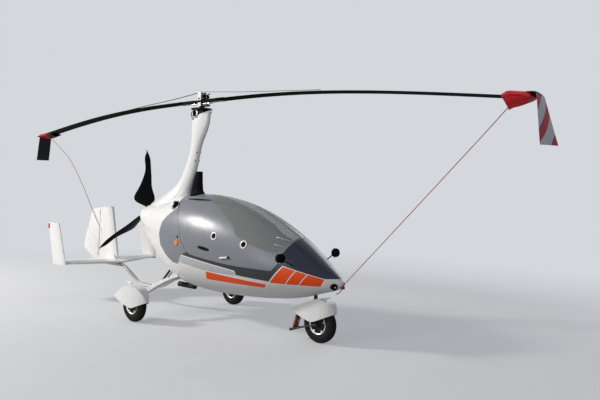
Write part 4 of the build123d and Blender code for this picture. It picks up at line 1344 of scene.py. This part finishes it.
@dataclass
class BladeBag:
    """Cloth bag over a blade's tip with the flag that hangs from it.

    Distances along the blade are measured from the hub.

    Attributes:
        end: front or rear.
        turn: 1 towards the nose and -1 towards the tail.
        finish: Finish of the flag.
        start: Distance at which the flag leaves the bag.
        yoke: How far its top runs outwards before it hangs.
        drift: How far the flag's foot is blown out and across.
        twist: Degrees by which its foot turns towards starboard.
        mouth: Distance at which the bag opens.
        belly: Share of its length over which it swells.
        depth: How deep its keel hangs.
        tuck: How much lower its top lies at the mouth.
        close: Distance at which the bag is sewn shut.
        slant: How far the mouth's keel lies outwards of its top, or 0 for a gathered mouth.
        top: Height of the bag's top.
        sag: How much the top falls towards the closed end.
        half: Half width at the mouth.
        edge: Height of the flag's gathered top.
        gather: Share of the flag's length that this top takes.
        drop: Height of the hung part below it.
        half_flag: Half of the flag's width.
    """

    end: str
    turn: float
    finish: Finish
    start: float
    yoke: float
    drift: tuple[float, float]
    twist: float
    mouth: float
    belly: float
    depth: float
    tuck: float
    close: float
    slant: float
    top: float = 2.424
    sag: float = 0.036
    half: float = 0.090
    edge: float = 2.397
    gather: float = 0.16
    drop: float = 0.403
    half_flag: float = 0.098

    def sleeve(self) -> np.ndarray:
        """Rows of the bag: its upper half follows the blade and its keel is pulled to a point.

        Each section is a flat ellipse above and a narrowing V below, whose depth falls from the mouth
        to the closed end, with soft folds that fade towards the blade.

        Returns:
            Points, rows from the mouth outwards by places around.
        """
        reach = np.linspace(0.0, 1.0, 40)[:, None]
        turn = angles(56)[None]
        below = np.clip(-np.sin(turn), 0, 1)
        x = self.mouth + (self.close - self.mouth) * reach + self.slant * (1 - reach) * below
        full = np.sin(np.pi * np.clip(reach / self.belly, 0, 1) / 2)
        top = self.top - self.sag * reach - self.tuck * (1 - full)
        half = self.half + 0.018 * full - 0.010 * reach
        swollen = 1.0 if self.slant else full
        deep = (0.018 + self.depth * swollen) * (1 - reach) ** 0.8 + 0.024
        crown = 0.010 + 0.026 * full
        folds = 0.0040 * np.sin(11 * turn + 5 * reach) * np.sin(np.pi * reach) ** 0.5
        narrow = 1 - 0.72 * below**1.5 * (1 - 0.6 * reach)
        y = np.cos(turn) * half * narrow + folds * np.abs(np.cos(turn))
        above = np.abs(np.sin(turn)) ** 0.7 * crown
        z = top + np.where(np.sin(turn) > 0, above, -(below**1.2) * deep) + folds * np.abs(np.sin(turn))
        shut = np.clip((reach - 0.93) / 0.07, 0, 1)
        z = z * (1 - 0.88 * shut**2) + (top + 0.005) * 0.88 * shut**2
        return np.stack(np.broadcast_arrays(x * self.turn, y * self.turn, z), axis=-1)

    def bag(self) -> bpy.types.Object:
        """The bag over the blade's tip.

        Returns:
            The sheet over the blade.
        """
        grid = self.sleeve()
        sewn = [(lattice(grid, True, False), BAG_RED)]
        made = piece(f"blade_bag_{self.end}", sewn, "rotor", 60.0)
        return made

    def flag(self) -> bpy.types.Object:
        """The flag: a hung sheet, gathered at its top, that leans with the wind in long folds.

        Across its width the cloth waves more towards its foot, and its foot drifts outwards.

        Returns:
            The sheet, hung from the bag.
        """
        down = np.linspace(0.0, 1.0, 50)[:, None]
        across = np.linspace(-1.0, 1.0, 28)[None]
        hem = np.clip(down / self.gather, 0, 1)
        hung = np.clip((down - self.gather) / (1.0 - self.gather), 0, 1)
        turn = np.radians(self.twist) * hung
        wave = 0.004 * np.sin(4.0 * across + 2.5 * hung) * hung
        x = self.start + self.yoke * np.sin(0.5 * np.pi * hem) + self.drift[0] * hung
        x = x + np.sin(turn) * across * self.half_flag + wave * np.cos(turn)
        y = np.cos(turn) * across * self.half_flag + self.drift[1] * hung - wave * np.sin(turn)
        held = 2.398 + 0.038 * (1 - (across * 0.94) ** 2) ** 0.35
        z = self.edge + (held - self.edge) * (1 - hem**2.2)
        z = z - self.drop * hung - 0.010 * across * hem * (1 - hung)
        grid = np.stack(np.broadcast_arrays(x * self.turn, y, z), axis=-1)
        hanging = [(lattice(grid, False, False), self.finish)]
        made = piece(f"tip_flag_{self.end}", hanging, "rotor", 60.0)
        return made

    def build(self) -> Pieces:
        """Makes bag and flag in place of their solid.

        Returns:
            The pieces.
        """
        bag, flag = self.bag(), self.flag()
        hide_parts(f"tip_bag_{self.end}")
        return [bag, flag]


@dataclass
class Cushion:
    """A padded seat or back cushion.

    Attributes:
        name: Piece name.
        centre: Middle of the pad.
        size: Length, width and thickness.
        forward: Direction of its length.
        swell: Cap on how far a point may move.
        slack: How much smaller each half is before it is blown up.
        waist: Share by which its sides pull in between the corners.
        voxel: Size of the even mesh that is blown up.
        pressure: Cloth pressure.
        frames: Frames of the simulation.
    """

    name: str
    centre: Point
    size: Point
    forward: Point
    swell: float = 0.012
    slack: Point = (0.008, 0.008, 0.007)
    waist: float = 0.03
    voxel: float = 0.008
    pressure: float = 4.0
    frames: int = 12

    def form(self) -> Form:
        """Pillow: a rounded slab whose sides pull in between its corners, slightly undersized.

        Seen from above it is cosine and sine of the turn, each raised to a small power; seen from the
        side its width falls with the cosine of the rise.

        Returns:
            The surface.
        """
        rise = np.linspace(-np.pi / 2, np.pi / 2, 26)[:, None]
        turn = angles(56)[None]
        square = 0.32
        across = np.sign(np.cos(turn)) * np.abs(np.cos(turn)) ** square
        along = np.sign(np.sin(turn)) * np.abs(np.sin(turn)) ** square
        spread = np.abs(np.cos(rise)) ** 0.45
        pull = 1.0 - self.waist * np.cos(2 * turn) ** 2
        half = [extent / 2 - less for extent, less in zip(self.size, self.slack)]
        x = across * spread * pull * half[0]
        y = along * spread * pull * half[1]
        grid = np.stack(np.broadcast_arrays(x, y, np.sin(rise) * half[2]), axis=-1)
        ahead, side = unit(np.array(self.forward)), np.array(Axis.PORT.value)
        over = np.cross(ahead, side)
        placed = grid[..., :1] * ahead + grid[..., 1:2] * side + grid[..., 2:] * over
        return lattice((np.array(self.centre) + placed)[1:-1])

    def build(self) -> bpy.types.Object:
        """Makes the pad, blows it up as cloth, caps its swell and subdivides it.

        Returns:
            The padded piece.
        """
        made = piece(self.name, [(self.form(), HIDE)], None, 60.0)
        self.inflate(made)
        smooth = made.modifiers.new("smooth", "SUBSURF")
        smooth.levels = smooth.render_levels = 1
        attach(made, "airframe")
        return made

    def inflate(self, made: bpy.types.Object) -> None:
        """Runs the cloth pressure on the pad and keeps each point within its cap.

        A point's move is shortened to the cap where it is longer.

        Args:
            made: The pad.
        """
        remesh = made.modifiers.new("even", "REMESH")
        remesh.mode = "VOXEL"
        remesh.voxel_size = self.voxel
        apply_all(made)
        before = corners(made)
        cloth = made.modifiers.new("cloth", "CLOTH")
        cloth.settings.use_pressure = True
        cloth.settings.uniform_pressure_force = self.pressure
        cloth.settings.effector_weights.gravity = 0.0
        cloth.settings.quality = 4
        scene = bpy.context.scene
        for step in range(1, self.frames + 1):
            scene.frame_set(step)
        apply_all(made)
        scene.frame_set(1)
        move = corners(made) - before
        far = np.linalg.norm(move, axis=1, keepdims=True)
        capped = move * np.minimum(1.0, self.swell / np.maximum(far, 1e-9))
        made.data.vertices.foreach_set("co", (before + capped).ravel())
        made.data.update()
        made.data.shade_smooth()
        if not made.data.materials:
            made.data.materials.append(HIDE.material())


@dataclass
class Cabin:
    """Seats' padding, belts and the instruments.

    Belt routes are measured from the foot of the seat's back and the height of its pan.

    Attributes:
        seats: Foot of each seat's back and height of its pan.
        pan_slope: Rise of a pan over its length.
        back_slope: Lean of a back over its height.
        seat_pad: Size of a seat cushion.
        back_pad: Size of a back cushion.
        seat_reach: Distance of its middle ahead of the back's foot.
        back_reach: Height of its middle above the pan.
        lift: Distance of a cushion's middle off its shell.
        belt: Width and thickness of the webbing.
        shoulder: Route of a shoulder belt.
        lap: Route of a lap belt.
        panel: Foot of the instrument panel's face as (x, z).
        lean: Cosine and sine of the panel's lean.
    """

    seats: Outline = ((0.860, 0.470), (0.230, 0.560))
    pan_slope: float = 0.060 / 0.430
    back_slope: float = 0.120 / 0.560
    seat_pad: Point = (0.350, 0.385, 0.053)
    back_pad: Point = (0.485, 0.385, 0.053)
    seat_reach: float = 0.242
    back_reach: float = 0.305
    lift: float = 0.028
    belt: tuple[float, float] = (0.045, 0.002)
    shoulder: Sequence[Point] = (
        (-0.085, 0.075, 0.53), (0.035, 0.072, 0.33), (0.085, 0.05, 0.16), (0.125, 0.018, 0.095),
    )
    lap: Sequence[Point] = ((0.05, 0.195, 0.05), (0.085, 0.14, 0.09), (0.125, 0.02, 0.092))
    panel: tuple[float, float] = (1.500, 0.800)
    lean: tuple[float, float] = (0.936, 0.351)

    def cushions(self) -> Pieces:
        """Four cushions in place of the two nodes of plain ones.

        Returns:
            The pieces, seat and back by turns.
        """
        made: Pieces = []
        for row, (foot, pan) in zip(("front", "rear"), self.seats):
            seat = (foot + self.seat_reach, 0, pan + self.seat_reach * self.pan_slope + self.lift)
            back = (foot - self.back_reach * self.back_slope + self.lift, 0, pan + self.back_reach)
            made += [
                Cushion(f"seat_cushion_{row}", seat, self.seat_pad, (1, 0, self.pan_slope)).build(),
                Cushion(f"back_cushion_{row}", back, self.back_pad, (-self.back_slope, 0, 1)).build(),
            ]
        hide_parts("seat_cushions")
        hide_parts("back_cushions")
        return made

    def belts(self) -> bpy.types.Object:
        """Lap and shoulder webbing over each seat, with its buckle.

        Returns:
            The piece.
        """
        forms: Parts = []
        flat = rounded(*self.belt, 6.0, 12)
        for foot, pan in self.seats:
            for side in (-1.0, 1.0):
                for route, count, up in ((self.shoulder, 20, (1, 0, 0.3)), (self.lap, 16, (0.3, 0, 1))):
                    points = np.array(route) * (1.0, side, 1.0) + (foot, 0.0, pan)
                    forms.append((sweep(smooth_path(points, count), flat, 1.0, up), BELT))
            forms.append((block((foot + 0.128, 0, pan + 0.097), (0.05, 0.06, 0.016)), BRIGHT))
        return piece("seat_belts", forms, "airframe")

    def instruments(self) -> bpy.types.Object:
        """Dials, switches, a glare shield and two tubes at the rear face of the panel.

        Returns:
            The piece.
        """
        forms: Parts = []
        x, z = self.panel
        cosine, sine = self.lean
        face = unit(np.array((-cosine, 0.0, sine)))
        rim = ((0.0, 0.030), (0.006, 0.030), (0.007, 0.027), (0.003, 0.026), (0.003, 0.001))
        dial = ((0.0025, 0.0265), (0.0034, 0.0265), (0.0035, 0.001))
        for y in (-0.115, -0.04, 0.035, 0.11):
            for reach in (0.045, 0.118):
                centre = (x + reach * sine, y, z + reach * cosine)
                forms.append((turned(rim, centre, face, 28), BLACK))
                forms.append((turned(dial, centre, face, 24), DIAL))
        for y in np.linspace(-0.13, 0.13, 9):
            foot = np.array((x + 0.005, y, z + 0.012))
            forms.append((rod(foot, foot + 0.014 * face, 0.003, 8), BRIGHT))
        shade = smooth_path([(1.545, 0, 0.975), (1.60, 0, 0.985), (1.645, 0, 0.965)], 12)
        forms.append((sweep(shade, rounded(0.33, 0.008, 6.0, 20)), BLACK))
        forms.append((rod((1.30, 0.02, 1.060), (1.55, 0.02, 1.030), 0.006, 10), BRIGHT))
        forms.append((rod((1.33, -0.06, 0.985), (1.49, -0.06, 0.972), 0.006, 10), BRIGHT))
        return piece("instruments", forms, "airframe")

    def build(self) -> Pieces:
        """Makes everything in the cabin."""
        return self.cushions() + [self.belts(), self.instruments()]


@dataclass
class DoorFittings:
    """Vents, grip slots, lever, roof strips and inner bows of the canopy.

    Lines are given by their ends as (x, z).

    Attributes:
        vents: Places of the round vents as (x, z).
        vent: Vent radius.
        slot: Line of the grip slot.
        roof: Line of the strip at the roof, near-black as painted shade of a slot.
        bow: Line of the tube inside the glass.
        lever: Line of the latch's lever.
        latch: Place of its pivot.
    """

    vents: Outline = ((0.737, 1.055), (1.190, 0.992))
    vent: float = 0.046
    slot: Outline = ((0.501, 0.916), (0.691, 0.894))
    roof: Outline = ((0.000, 1.452), (0.420, 1.446))
    bow: Outline = ((0.86, 1.40), (1.43, 1.06))
    lever: Outline = ((0.878, 0.824), (1.000, 0.838))
    latch: tuple[float, float] = (1.008, 0.839)

    def vent_forms(self) -> Parts:
        """Round vents with a pale ring, on both sides: profiles in vent radii turned about the skin.

        Returns:
            The surfaces and their finishes.
        """
        forms: Parts = []
        rim = ((-0.002, 1.0), (0.003, 1.0), (0.0045, 0.92), (0.004, 0.70), (0.001, 0.64), (-0.002, 0.64))
        # The vent's hole is a flat near-black disc: painted shade of the opening.
        hole = ((-0.001, 0.66), (0.0012, 0.66), (0.0014, 0.02))
        flap = ((0.0012, 0.52), (0.0030, 0.48), (0.0036, 0.02))
        for x, z in self.vents:
            for side in Side:
                seat = on_skin("canopy_frame", x, z, side)
                for profile, finish in ((rim, WHITE), (hole, RECESS_SHADE), (flap, BLACK)):
                    forms.append((turned(np.array(profile) * (1, self.vent), *seat, 32), finish))
        return forms

    def strips(self) -> Parts:
        """Grip slots, roof strips and inner bows: sections swept along lines on the skin.

        Slots and strips swell like a sine from end to end.

        Returns:
            The surfaces and their finishes.
        """
        forms: Parts = []
        for side in Side:
            # The grip slot is a thin near-black strip on the skin: painted shade of the slot.
            path = skin_line("canopy_frame", self.slot, side, 12, 0.0012)
            swell = 0.55 + 0.45 * np.sin(np.linspace(0.25, np.pi - 0.1, 12))
            forms.append((sweep(path, rounded(0.004, 0.040, 3.0), swell), RECESS_SHADE))
        for side in Side:
            # The roof strip is near-black as well: painted shade of a slot.
            path = skin_line("canopy_frame", self.roof, side, 16, 0.004)
            swell = 0.4 + 0.6 * np.sin(np.linspace(0.2, np.pi - 0.1, 16))
            forms.append((sweep(path, rounded(0.030, 0.018, 3.0), swell), RECESS_SHADE))
            path = skin_line("canopy_glass", self.bow, side, 20, -0.012)
            forms.append((sweep(path, ring(0.006, 8)), BLACK))
        return forms

    def build(self) -> Pieces:
        """Makes the fittings that ride with the door.

        Returns:
            The pieces.
        """
        forms = self.vent_forms() + self.strips()
        path = skin_line("canopy_frame", self.lever, Side.STARBOARD, 8, 0.014)
        size = np.array([0.6, 0.9, 1, 1, 1, 1, 1, 0.9])
        forms.append((sweep(path, rounded(0.012, 0.020, 4.0), size), WHITE))
        pivot = ((0.0, 0.011), (0.018, 0.011), (0.021, 0.008))
        seat = on_skin("canopy_frame", *self.latch, Side.STARBOARD)
        forms.append((turned(pivot, *seat, 20), BLACK))
        return [piece("door_fittings", forms, "canopy")]


@dataclass
class BodyFittings:
    """Filler cap, bolts, lamps, mirror glasses, exhaust tip, tail lamp and cables.

    Attributes:
        lamp_root: Place in a lamp's axis behind its glass, to port.
        lamp_face: Middle of its glass, to port.
        mirror: Middle of a mirror head's rear face, to port.
        mirror_tall: Height of a mirror glass over its width.
        scoop_foot: Lower end of a scoop, to port.
        scoop_head: Upper end of a scoop, to port.
        seam: Lower and upper end of the rudder's gap as (x, z).
        seam_width: Radius of the dark line in that gap.
        cable: Cable radius.
        cable_side: How far the keel cables lie to either side.
        cable_runs: Ends of their straight runs as (x, z).
    """

    lamp_root: Point = (2.120, 0.040, 0.632)
    lamp_face: Point = (2.206, 0.076, 0.618)
    mirror: Point = (1.788, 0.455, 0.900)
    mirror_tall: float = 1.25
    scoop_foot: Point = (-0.176, 0.276, 1.322)
    scoop_head: Point = (-0.128, 0.252, 1.412)
    seam: Outline = ((-2.2615, 0.560), (-2.2205, 1.252))
    # seam_width: Radius of the line of painted shade in that gap.
    seam_width: float = 0.0032
    cable: float = 0.0015
    cable_side: float = 0.012
    cable_runs: Sequence[Outline] = (
        ((-0.86, 0.262), (-1.20, 0.268)), ((-1.24, 0.270), (-1.64, 0.489)),
        ((-1.66, 0.491), (-1.90, 0.490)),
    )

    def at(self, place: Point, side: Side) -> np.ndarray:
        """A place given for port, on the side that is asked for."""
        return np.array(place) * (1.0, side.value, 1.0)

    def lamps(self) -> Parts:
        """Glass and reflector in each nose lamp.

        Returns:
            The surfaces and their finishes.
        """
        forms: Parts = []
        glass = ((-0.002, 0.0325), (0.003, 0.031), (0.005, 0.024), (0.0062, 0.001))
        bulb = ((0.0045, 0.009), (0.0075, 0.008), (0.0085, 0.001))
        for side in Side:
            face = self.at(self.lamp_face, side)
            out = unit(face - self.at(self.lamp_root, side))
            forms.append((turned(glass, face, out, 32), BLACK))
            forms.append((turned(bulb, face, out, 24), LAMP))
        return forms

    def mirror_glass(self) -> Parts:
        """Domed glass on the rear of each mirror head: a turned profile, stretched upwards.

        Returns:
            The surfaces and their finishes.
        """
        forms: Parts = []
        rear = unit(np.array((-1.0, 0.0, -0.1)))
        dome = ((0.0, 0.044), (0.0015, 0.042), (0.0022, 0.001))
        for side in Side:
            middle = self.at(self.mirror, side) + rear * 0.0005
            glass = turned(dome, middle, rear, 36)
            glass.points[:, 2] = middle[2] + (glass.points[:, 2] - middle[2]) * self.mirror_tall
            forms.append((glass, BRIGHT))
        return forms

    def scoops(self) -> Parts:
        """Air inlets in the cowl's shoulders, leaning with the door's seam, near-black as painted shade of
        their insides.

        Returns:
            The surfaces and their finishes.
        """
        forms: Parts = []
        share = np.linspace(0.0, 1.0, 7)[:, None]
        swell = np.array([0.5, 0.85, 1.0, 1.0, 1.0, 0.85, 0.5])
        for side in Side:
            foot, head = self.at(self.scoop_foot, side), self.at(self.scoop_head, side)
            path = foot + share * (head - foot)
            forms.append((sweep(path, rounded(0.058, 0.040, 2.6), swell, (1, 0, 0)), RECESS_SHADE))
        return forms

    def seams(self) -> Parts:
        """Gap between centre fin and rudder, a near-black line of painted shade along the hinge line on
        both faces.

        Returns:
            The surfaces and their finishes.
        """
        forms: Parts = []
        for side in Side:
            path = skin_line("centre_fin", self.seam, side, 9, -0.0008)
            forms.append((sweep(path, ring(self.seam_width, 6), 1.0, (1, 0, 0)), RECESS_SHADE))
        return forms

    def on_panels(self) -> Parts:
        """Filler cap and drain of the starboard panel, and the mast's bolts on both sides.

        Returns:
            The surfaces and their finishes.
        """
        cap = ((-0.002, 0.036), (0.006, 0.036), (0.010, 0.032), (0.011, 0.001))
        hole = ((-0.001, 0.015), (0.0015, 0.015), (0.002, 0.001))
        head = ((-0.001, 0.009), (0.004, 0.009), (0.006, 0.006), (0.0065, 0.001))
        right = (Side.STARBOARD,)
        forms: Parts = []
        for profile, node, x, z, sides, steps, finish in (
            (cap, "engine_panel_right", 0.085, 0.938, right, 36, CAP_ORANGE),
            # The drain is a flat near-black disc: painted shade of the hole.
            (hole, "engine_panel_right", 0.095, 1.003, right, 24, RECESS_SHADE),
            (head, "mast_fairing", -0.038, 2.033, Side, 20, STEEL),
            (head, "mast_fairing", -0.063, 1.932, Side, 20, STEEL),
        ):
            for side in sides:
                forms.append((turned(profile, *on_skin(node, x, z, side), steps), finish))
        return forms

    def odds(self) -> Parts:
        """Brake cylinders on the main spats, grease caps of the gear and the keel's clamp.

        Returns:
            The surfaces and their finishes.
        """
        forms: Parts = []
        cylinder = ((0.0, 0.008), (0.003, 0.012), (0.080, 0.012), (0.083, 0.007), (0.100, 0.006))
        knob = np.array([(-0.016, 0.004), (-0.012, 0.012), (0.0, 0.016), (0.012, 0.012), (0.016, 0.004)])
        for side in Side:
            for profile, place, axis in (
                (cylinder, (-0.350, 0.735, 0.432), (-1.0, 0.0, 0.02)),
                (knob, (-0.218, 0.300, 0.462), Axis.UP.value),
                (knob * 1.3, (0.127, 0.300, 0.556), Axis.UP.value),
            ):
                forms.append((turned(profile, self.at(place, side), axis, 16), WHITE))
        forms.append((block((-0.900, 0.0, 0.262), (0.080, 0.060, 0.050), power=4.0), WHITE))
        return forms

    def tail(self) -> Parts:
        """Exhaust tip, tail lamp and the two keel cables.

        Returns:
            The surfaces and their finishes.
        """
        tip = ((0.0, 0.0335), (0.014, 0.0345), (0.016, 0.033), (0.016, 0.030), (0.002, 0.0295))
        lens = block((-2.372, -0.739, 1.012), (0.030, 0.030, 0.075), power=3.0)
        forms = [(turned(tip, (-0.232, -0.100, 0.372), (-1, 0, 0), 36), STEEL), (lens, RED_LENS)]
        for y in (-self.cable_side, self.cable_side):
            for run in self.cable_runs:
                start, end = [(x, y, z) for x, z in run]
                forms.append((rod(start, end, self.cable, 6), STEEL))
        return forms

    def build(self) -> Pieces:
        """Makes the fittings that ride with the airframe.

        Returns:
            The pieces.
        """
        forms = self.lamps() + self.mirror_glass() + self.on_panels()
        forms += self.scoops() + self.seams() + self.odds() + self.tail()
        return [piece("body_fittings", forms, "airframe")]


# Stage


@dataclass(frozen=True)
class SoftLight:
    """A square soft light that points at the machine's middle.

    Attributes:
        name: Light's name.
        place: Its place.
        size: Length of its sides.
        power: Power in watts.
        colour: Its colour.
        target: Machine's middle.
    """

    name: str
    place: Point
    size: float
    power: float
    colour: Colour
    target: Point = (0.2, 0.0, 0.9)

    def build(self) -> None:
        """Puts the light in its place."""
        data = bpy.data.lights.new(self.name, "AREA")
        data.size = self.size
        data.energy = self.power
        data.color = self.colour
        made = bpy.data.objects.new(self.name, data)
        made.location = self.place
        made.rotation_mode = "QUATERNION"
        aim = Vector(self.target) - Vector(self.place)
        made.rotation_quaternion = aim.to_track_quat("-Z", "Y")
        bpy.context.scene.collection.objects.link(made)


@dataclass
class Studio:
    """Floor, lights, background and the camera at the photograph's angle.

    Attributes:
        place: Camera's place.
        heading: Direction that it looks, in degrees from the nose towards port.
        pitch: Degrees above the horizon.
        roll: Degrees of roll.
        lens: Focal length.
        sensor: Width of the camera's sensor in millimetres.
        backdrop: Colour of the background.
        surround: Colour of the surround's light.
        ambient: Strength of the surround's light.
        apron: Half of the floor's side.
        stone: Two colours of the floor.
        dull: Colour of the floor for rays that carry light.
        veil: Share of the floor's brightness that no shadow darkens.
        near: Distance from the machine at which the floor begins to fade.
        fade: Distance over which it fades into the backdrop.
        lights: The soft lights.
    """

    place: Point = (5.9573, -4.9915, 1.5999)
    heading: float = 130.78
    pitch: float = -0.994
    roll: float = 1.246
    lens: float = 36.815
    sensor: float = 36.0
    backdrop: Colour = (0.66, 0.68, 0.71)
    surround: Colour = (0.86, 0.90, 1.0)
    ambient: float = 0.26
    apron: float = 150.0
    stone: tuple[Colour, Colour] = ((0.76, 0.76, 0.77), (0.72, 0.72, 0.73))
    dull: Colour = (0.30, 0.30, 0.31)
    veil: float = 0.35
    near: float = 4.5
    fade: float = 4.0
    lights: Sequence[SoftLight] = (
        SoftLight("sun_soft", (-8.7, -6.8, 6.6), 1.5, 1200.0, (1.0, 0.97, 0.92)),
        SoftLight("starboard_fill", (-1.0, -11.0, 3.5), 5.0, 330.0, (1.0, 0.98, 0.95)),
        SoftLight("front_fill", (9.0, -2.0, 5.0), 5.0, 60.0, (0.92, 0.95, 1.0)),
        SoftLight("far_fill", (0.0, 9.0, 5.0), 5.0, 180.0, (0.95, 0.97, 1.0)),
    )

    def camera(self) -> None:
        """Makes the camera from its heading, pitch and roll.

        The roll turns its right and up directions about the direction in which it looks.
        """
        yaw, dip, roll = (math.radians(a) for a in (self.heading, self.pitch, self.roll))
        ahead = np.array((math.cos(yaw) * math.cos(dip), math.sin(yaw) * math.cos(dip), math.sin(dip)))
        right = unit(np.cross(ahead, Axis.UP.value))
        up = np.cross(right, ahead)
        data = bpy.data.cameras.new("camera")
        data.lens = self.lens
        data.sensor_width = self.sensor
        data.clip_end = 200.0
        made = bpy.data.objects.new("camera", data)
        bpy.context.scene.collection.objects.link(made)
        matrix = np.eye(4)
        matrix[:3, 0] = math.cos(roll) * right + math.sin(roll) * up
        matrix[:3, 1] = math.cos(roll) * up - math.sin(roll) * right
        matrix[:3, 2] = -ahead
        matrix[:3, 3] = self.place
        made.matrix_world = Matrix(matrix.tolist())
        bpy.context.scene.camera = made

    def seen(self, shader: Shader) -> Signal:
        """1 for rays from the camera, from gloss and through glass, and 0 for those that carry light.

        Args:
            shader: Shader that gets the nodes.

        Returns:
            The value.
        """
        shown = shader.node("LightPath", out="Is Camera Ray")
        for kind in ("Is Glossy Ray", "Is Transmission Ray"):
            shown = shown.most(shader.node("LightPath", out=kind))
        return shown

    def floor(self) -> None:
        """Pale apron that keeps the machine's shadow and fades into the backdrop far from it.

        For rays that carry light it is a plain grey apron, so that little light comes from below.
        """
        x, y = np.meshgrid(*[np.linspace(-1.0, 1.0, 9) * self.apron] * 2, indexing="ij")
        form = lattice(np.stack([x, y, np.zeros_like(x)], axis=-1), False, False)
        mesh = bpy.data.meshes.new("apron")
        mesh.from_pydata(form.points.tolist(), [], form.quads.tolist())
        shader = Shader(bpy.data.materials.new("apron_pale"))
        place = shader.node("TexCoord", out="Object")
        away = shader.node("VectorMath", {"operation": "LENGTH"}, {0: place}, "Value")
        far = ((away - self.near) * (1.0 / self.fade)).least(1.0).most(0.0)
        lit = shader.node("BsdfDiffuse", None, {"Color": shader.mix(shader.noise(3.0), *self.stone)})
        bright = shader.node("Emission", None, {"Color": (*self.backdrop, 1.0), "Strength": 1.0})
        near = shader.node("MixShader", None, {0: far * (1.0 - self.veil) + self.veil, 1: lit, 2: bright})
        dull = shader.node("BsdfDiffuse", None, {"Color": (*self.dull, 1.0)})
        shown = shader.node("MixShader", None, {0: self.seen(shader), 1: dull, 2: near})
        shader.node("OutputMaterial", None, {"Surface": shown})
        mesh.materials.append(shader.owner)
        made = bpy.data.objects.new("apron", mesh)
        bpy.context.scene.collection.objects.link(made)

    def world(self) -> None:
        """Soft grey surround for light, the pale backdrop for what the camera, gloss and glass see."""
        world = bpy.data.worlds.new("surround")
        bpy.context.scene.world = world
        shader = Shader(world)
        light = shader.node("Background", None, {"Color": (*self.surround, 1.0), "Strength": self.ambient})
        pale = shader.node("Background", None, {"Color": (*self.backdrop, 1.0), "Strength": 1.0})
        shown = shader.node("MixShader", None, {0: self.seen(shader), 1: light, 2: pale})
        shader.node("OutputWorld", None, {"Surface": shown})

    def build(self) -> None:
        """Sets up the whole stage."""
        self.camera()
        self.floor()
        self.world()
        for light in self.lights:
            light.build()
        bpy.context.scene.view_settings.view_transform = "Standard"


def main() -> None:
    """Builds the sub-assemblies in order; each piece is reported as it is made."""
    logging.basicConfig(level=logging.INFO, format="%(name)s: %(message)s")
    Studio().build()
    Panels().dress()
    for wheel in (
        Wheel("nose", "nose_wheel", 1.965, 0.0),
        Wheel("left", "main_wheel_left", -0.204, 0.790),
        Wheel("right", "main_wheel_right", -0.204, -0.790),
    ):
        wheel.build()
    NoseSpring().build()
    RotorHead().build()
    for bag in (
        BladeBag(
            end="front", turn=1.0, finish=FLAG_BANDS_SHADED, start=4.085, yoke=0.094, drift=(0.080, 0.0),
            twist=24.0, mouth=3.884, belly=0.25, depth=0.074, tuck=0.012, close=4.130, slant=0.040,
        ),
        BladeBag(
            end="rear", turn=-1.0, finish=FLAG_BLACK, start=3.950, yoke=0.045, drift=(0.090, 0.0),
            twist=-12.0, mouth=3.640, belly=0.55, depth=0.034, tuck=0.014, close=4.060, slant=0.0,
        ),
    ):
        bag.build()
    Rigging().build()
    Cabin().build()
    DoorFittings().build()
    BodyFittings().build()


if __name__ == "__main__":
    main()
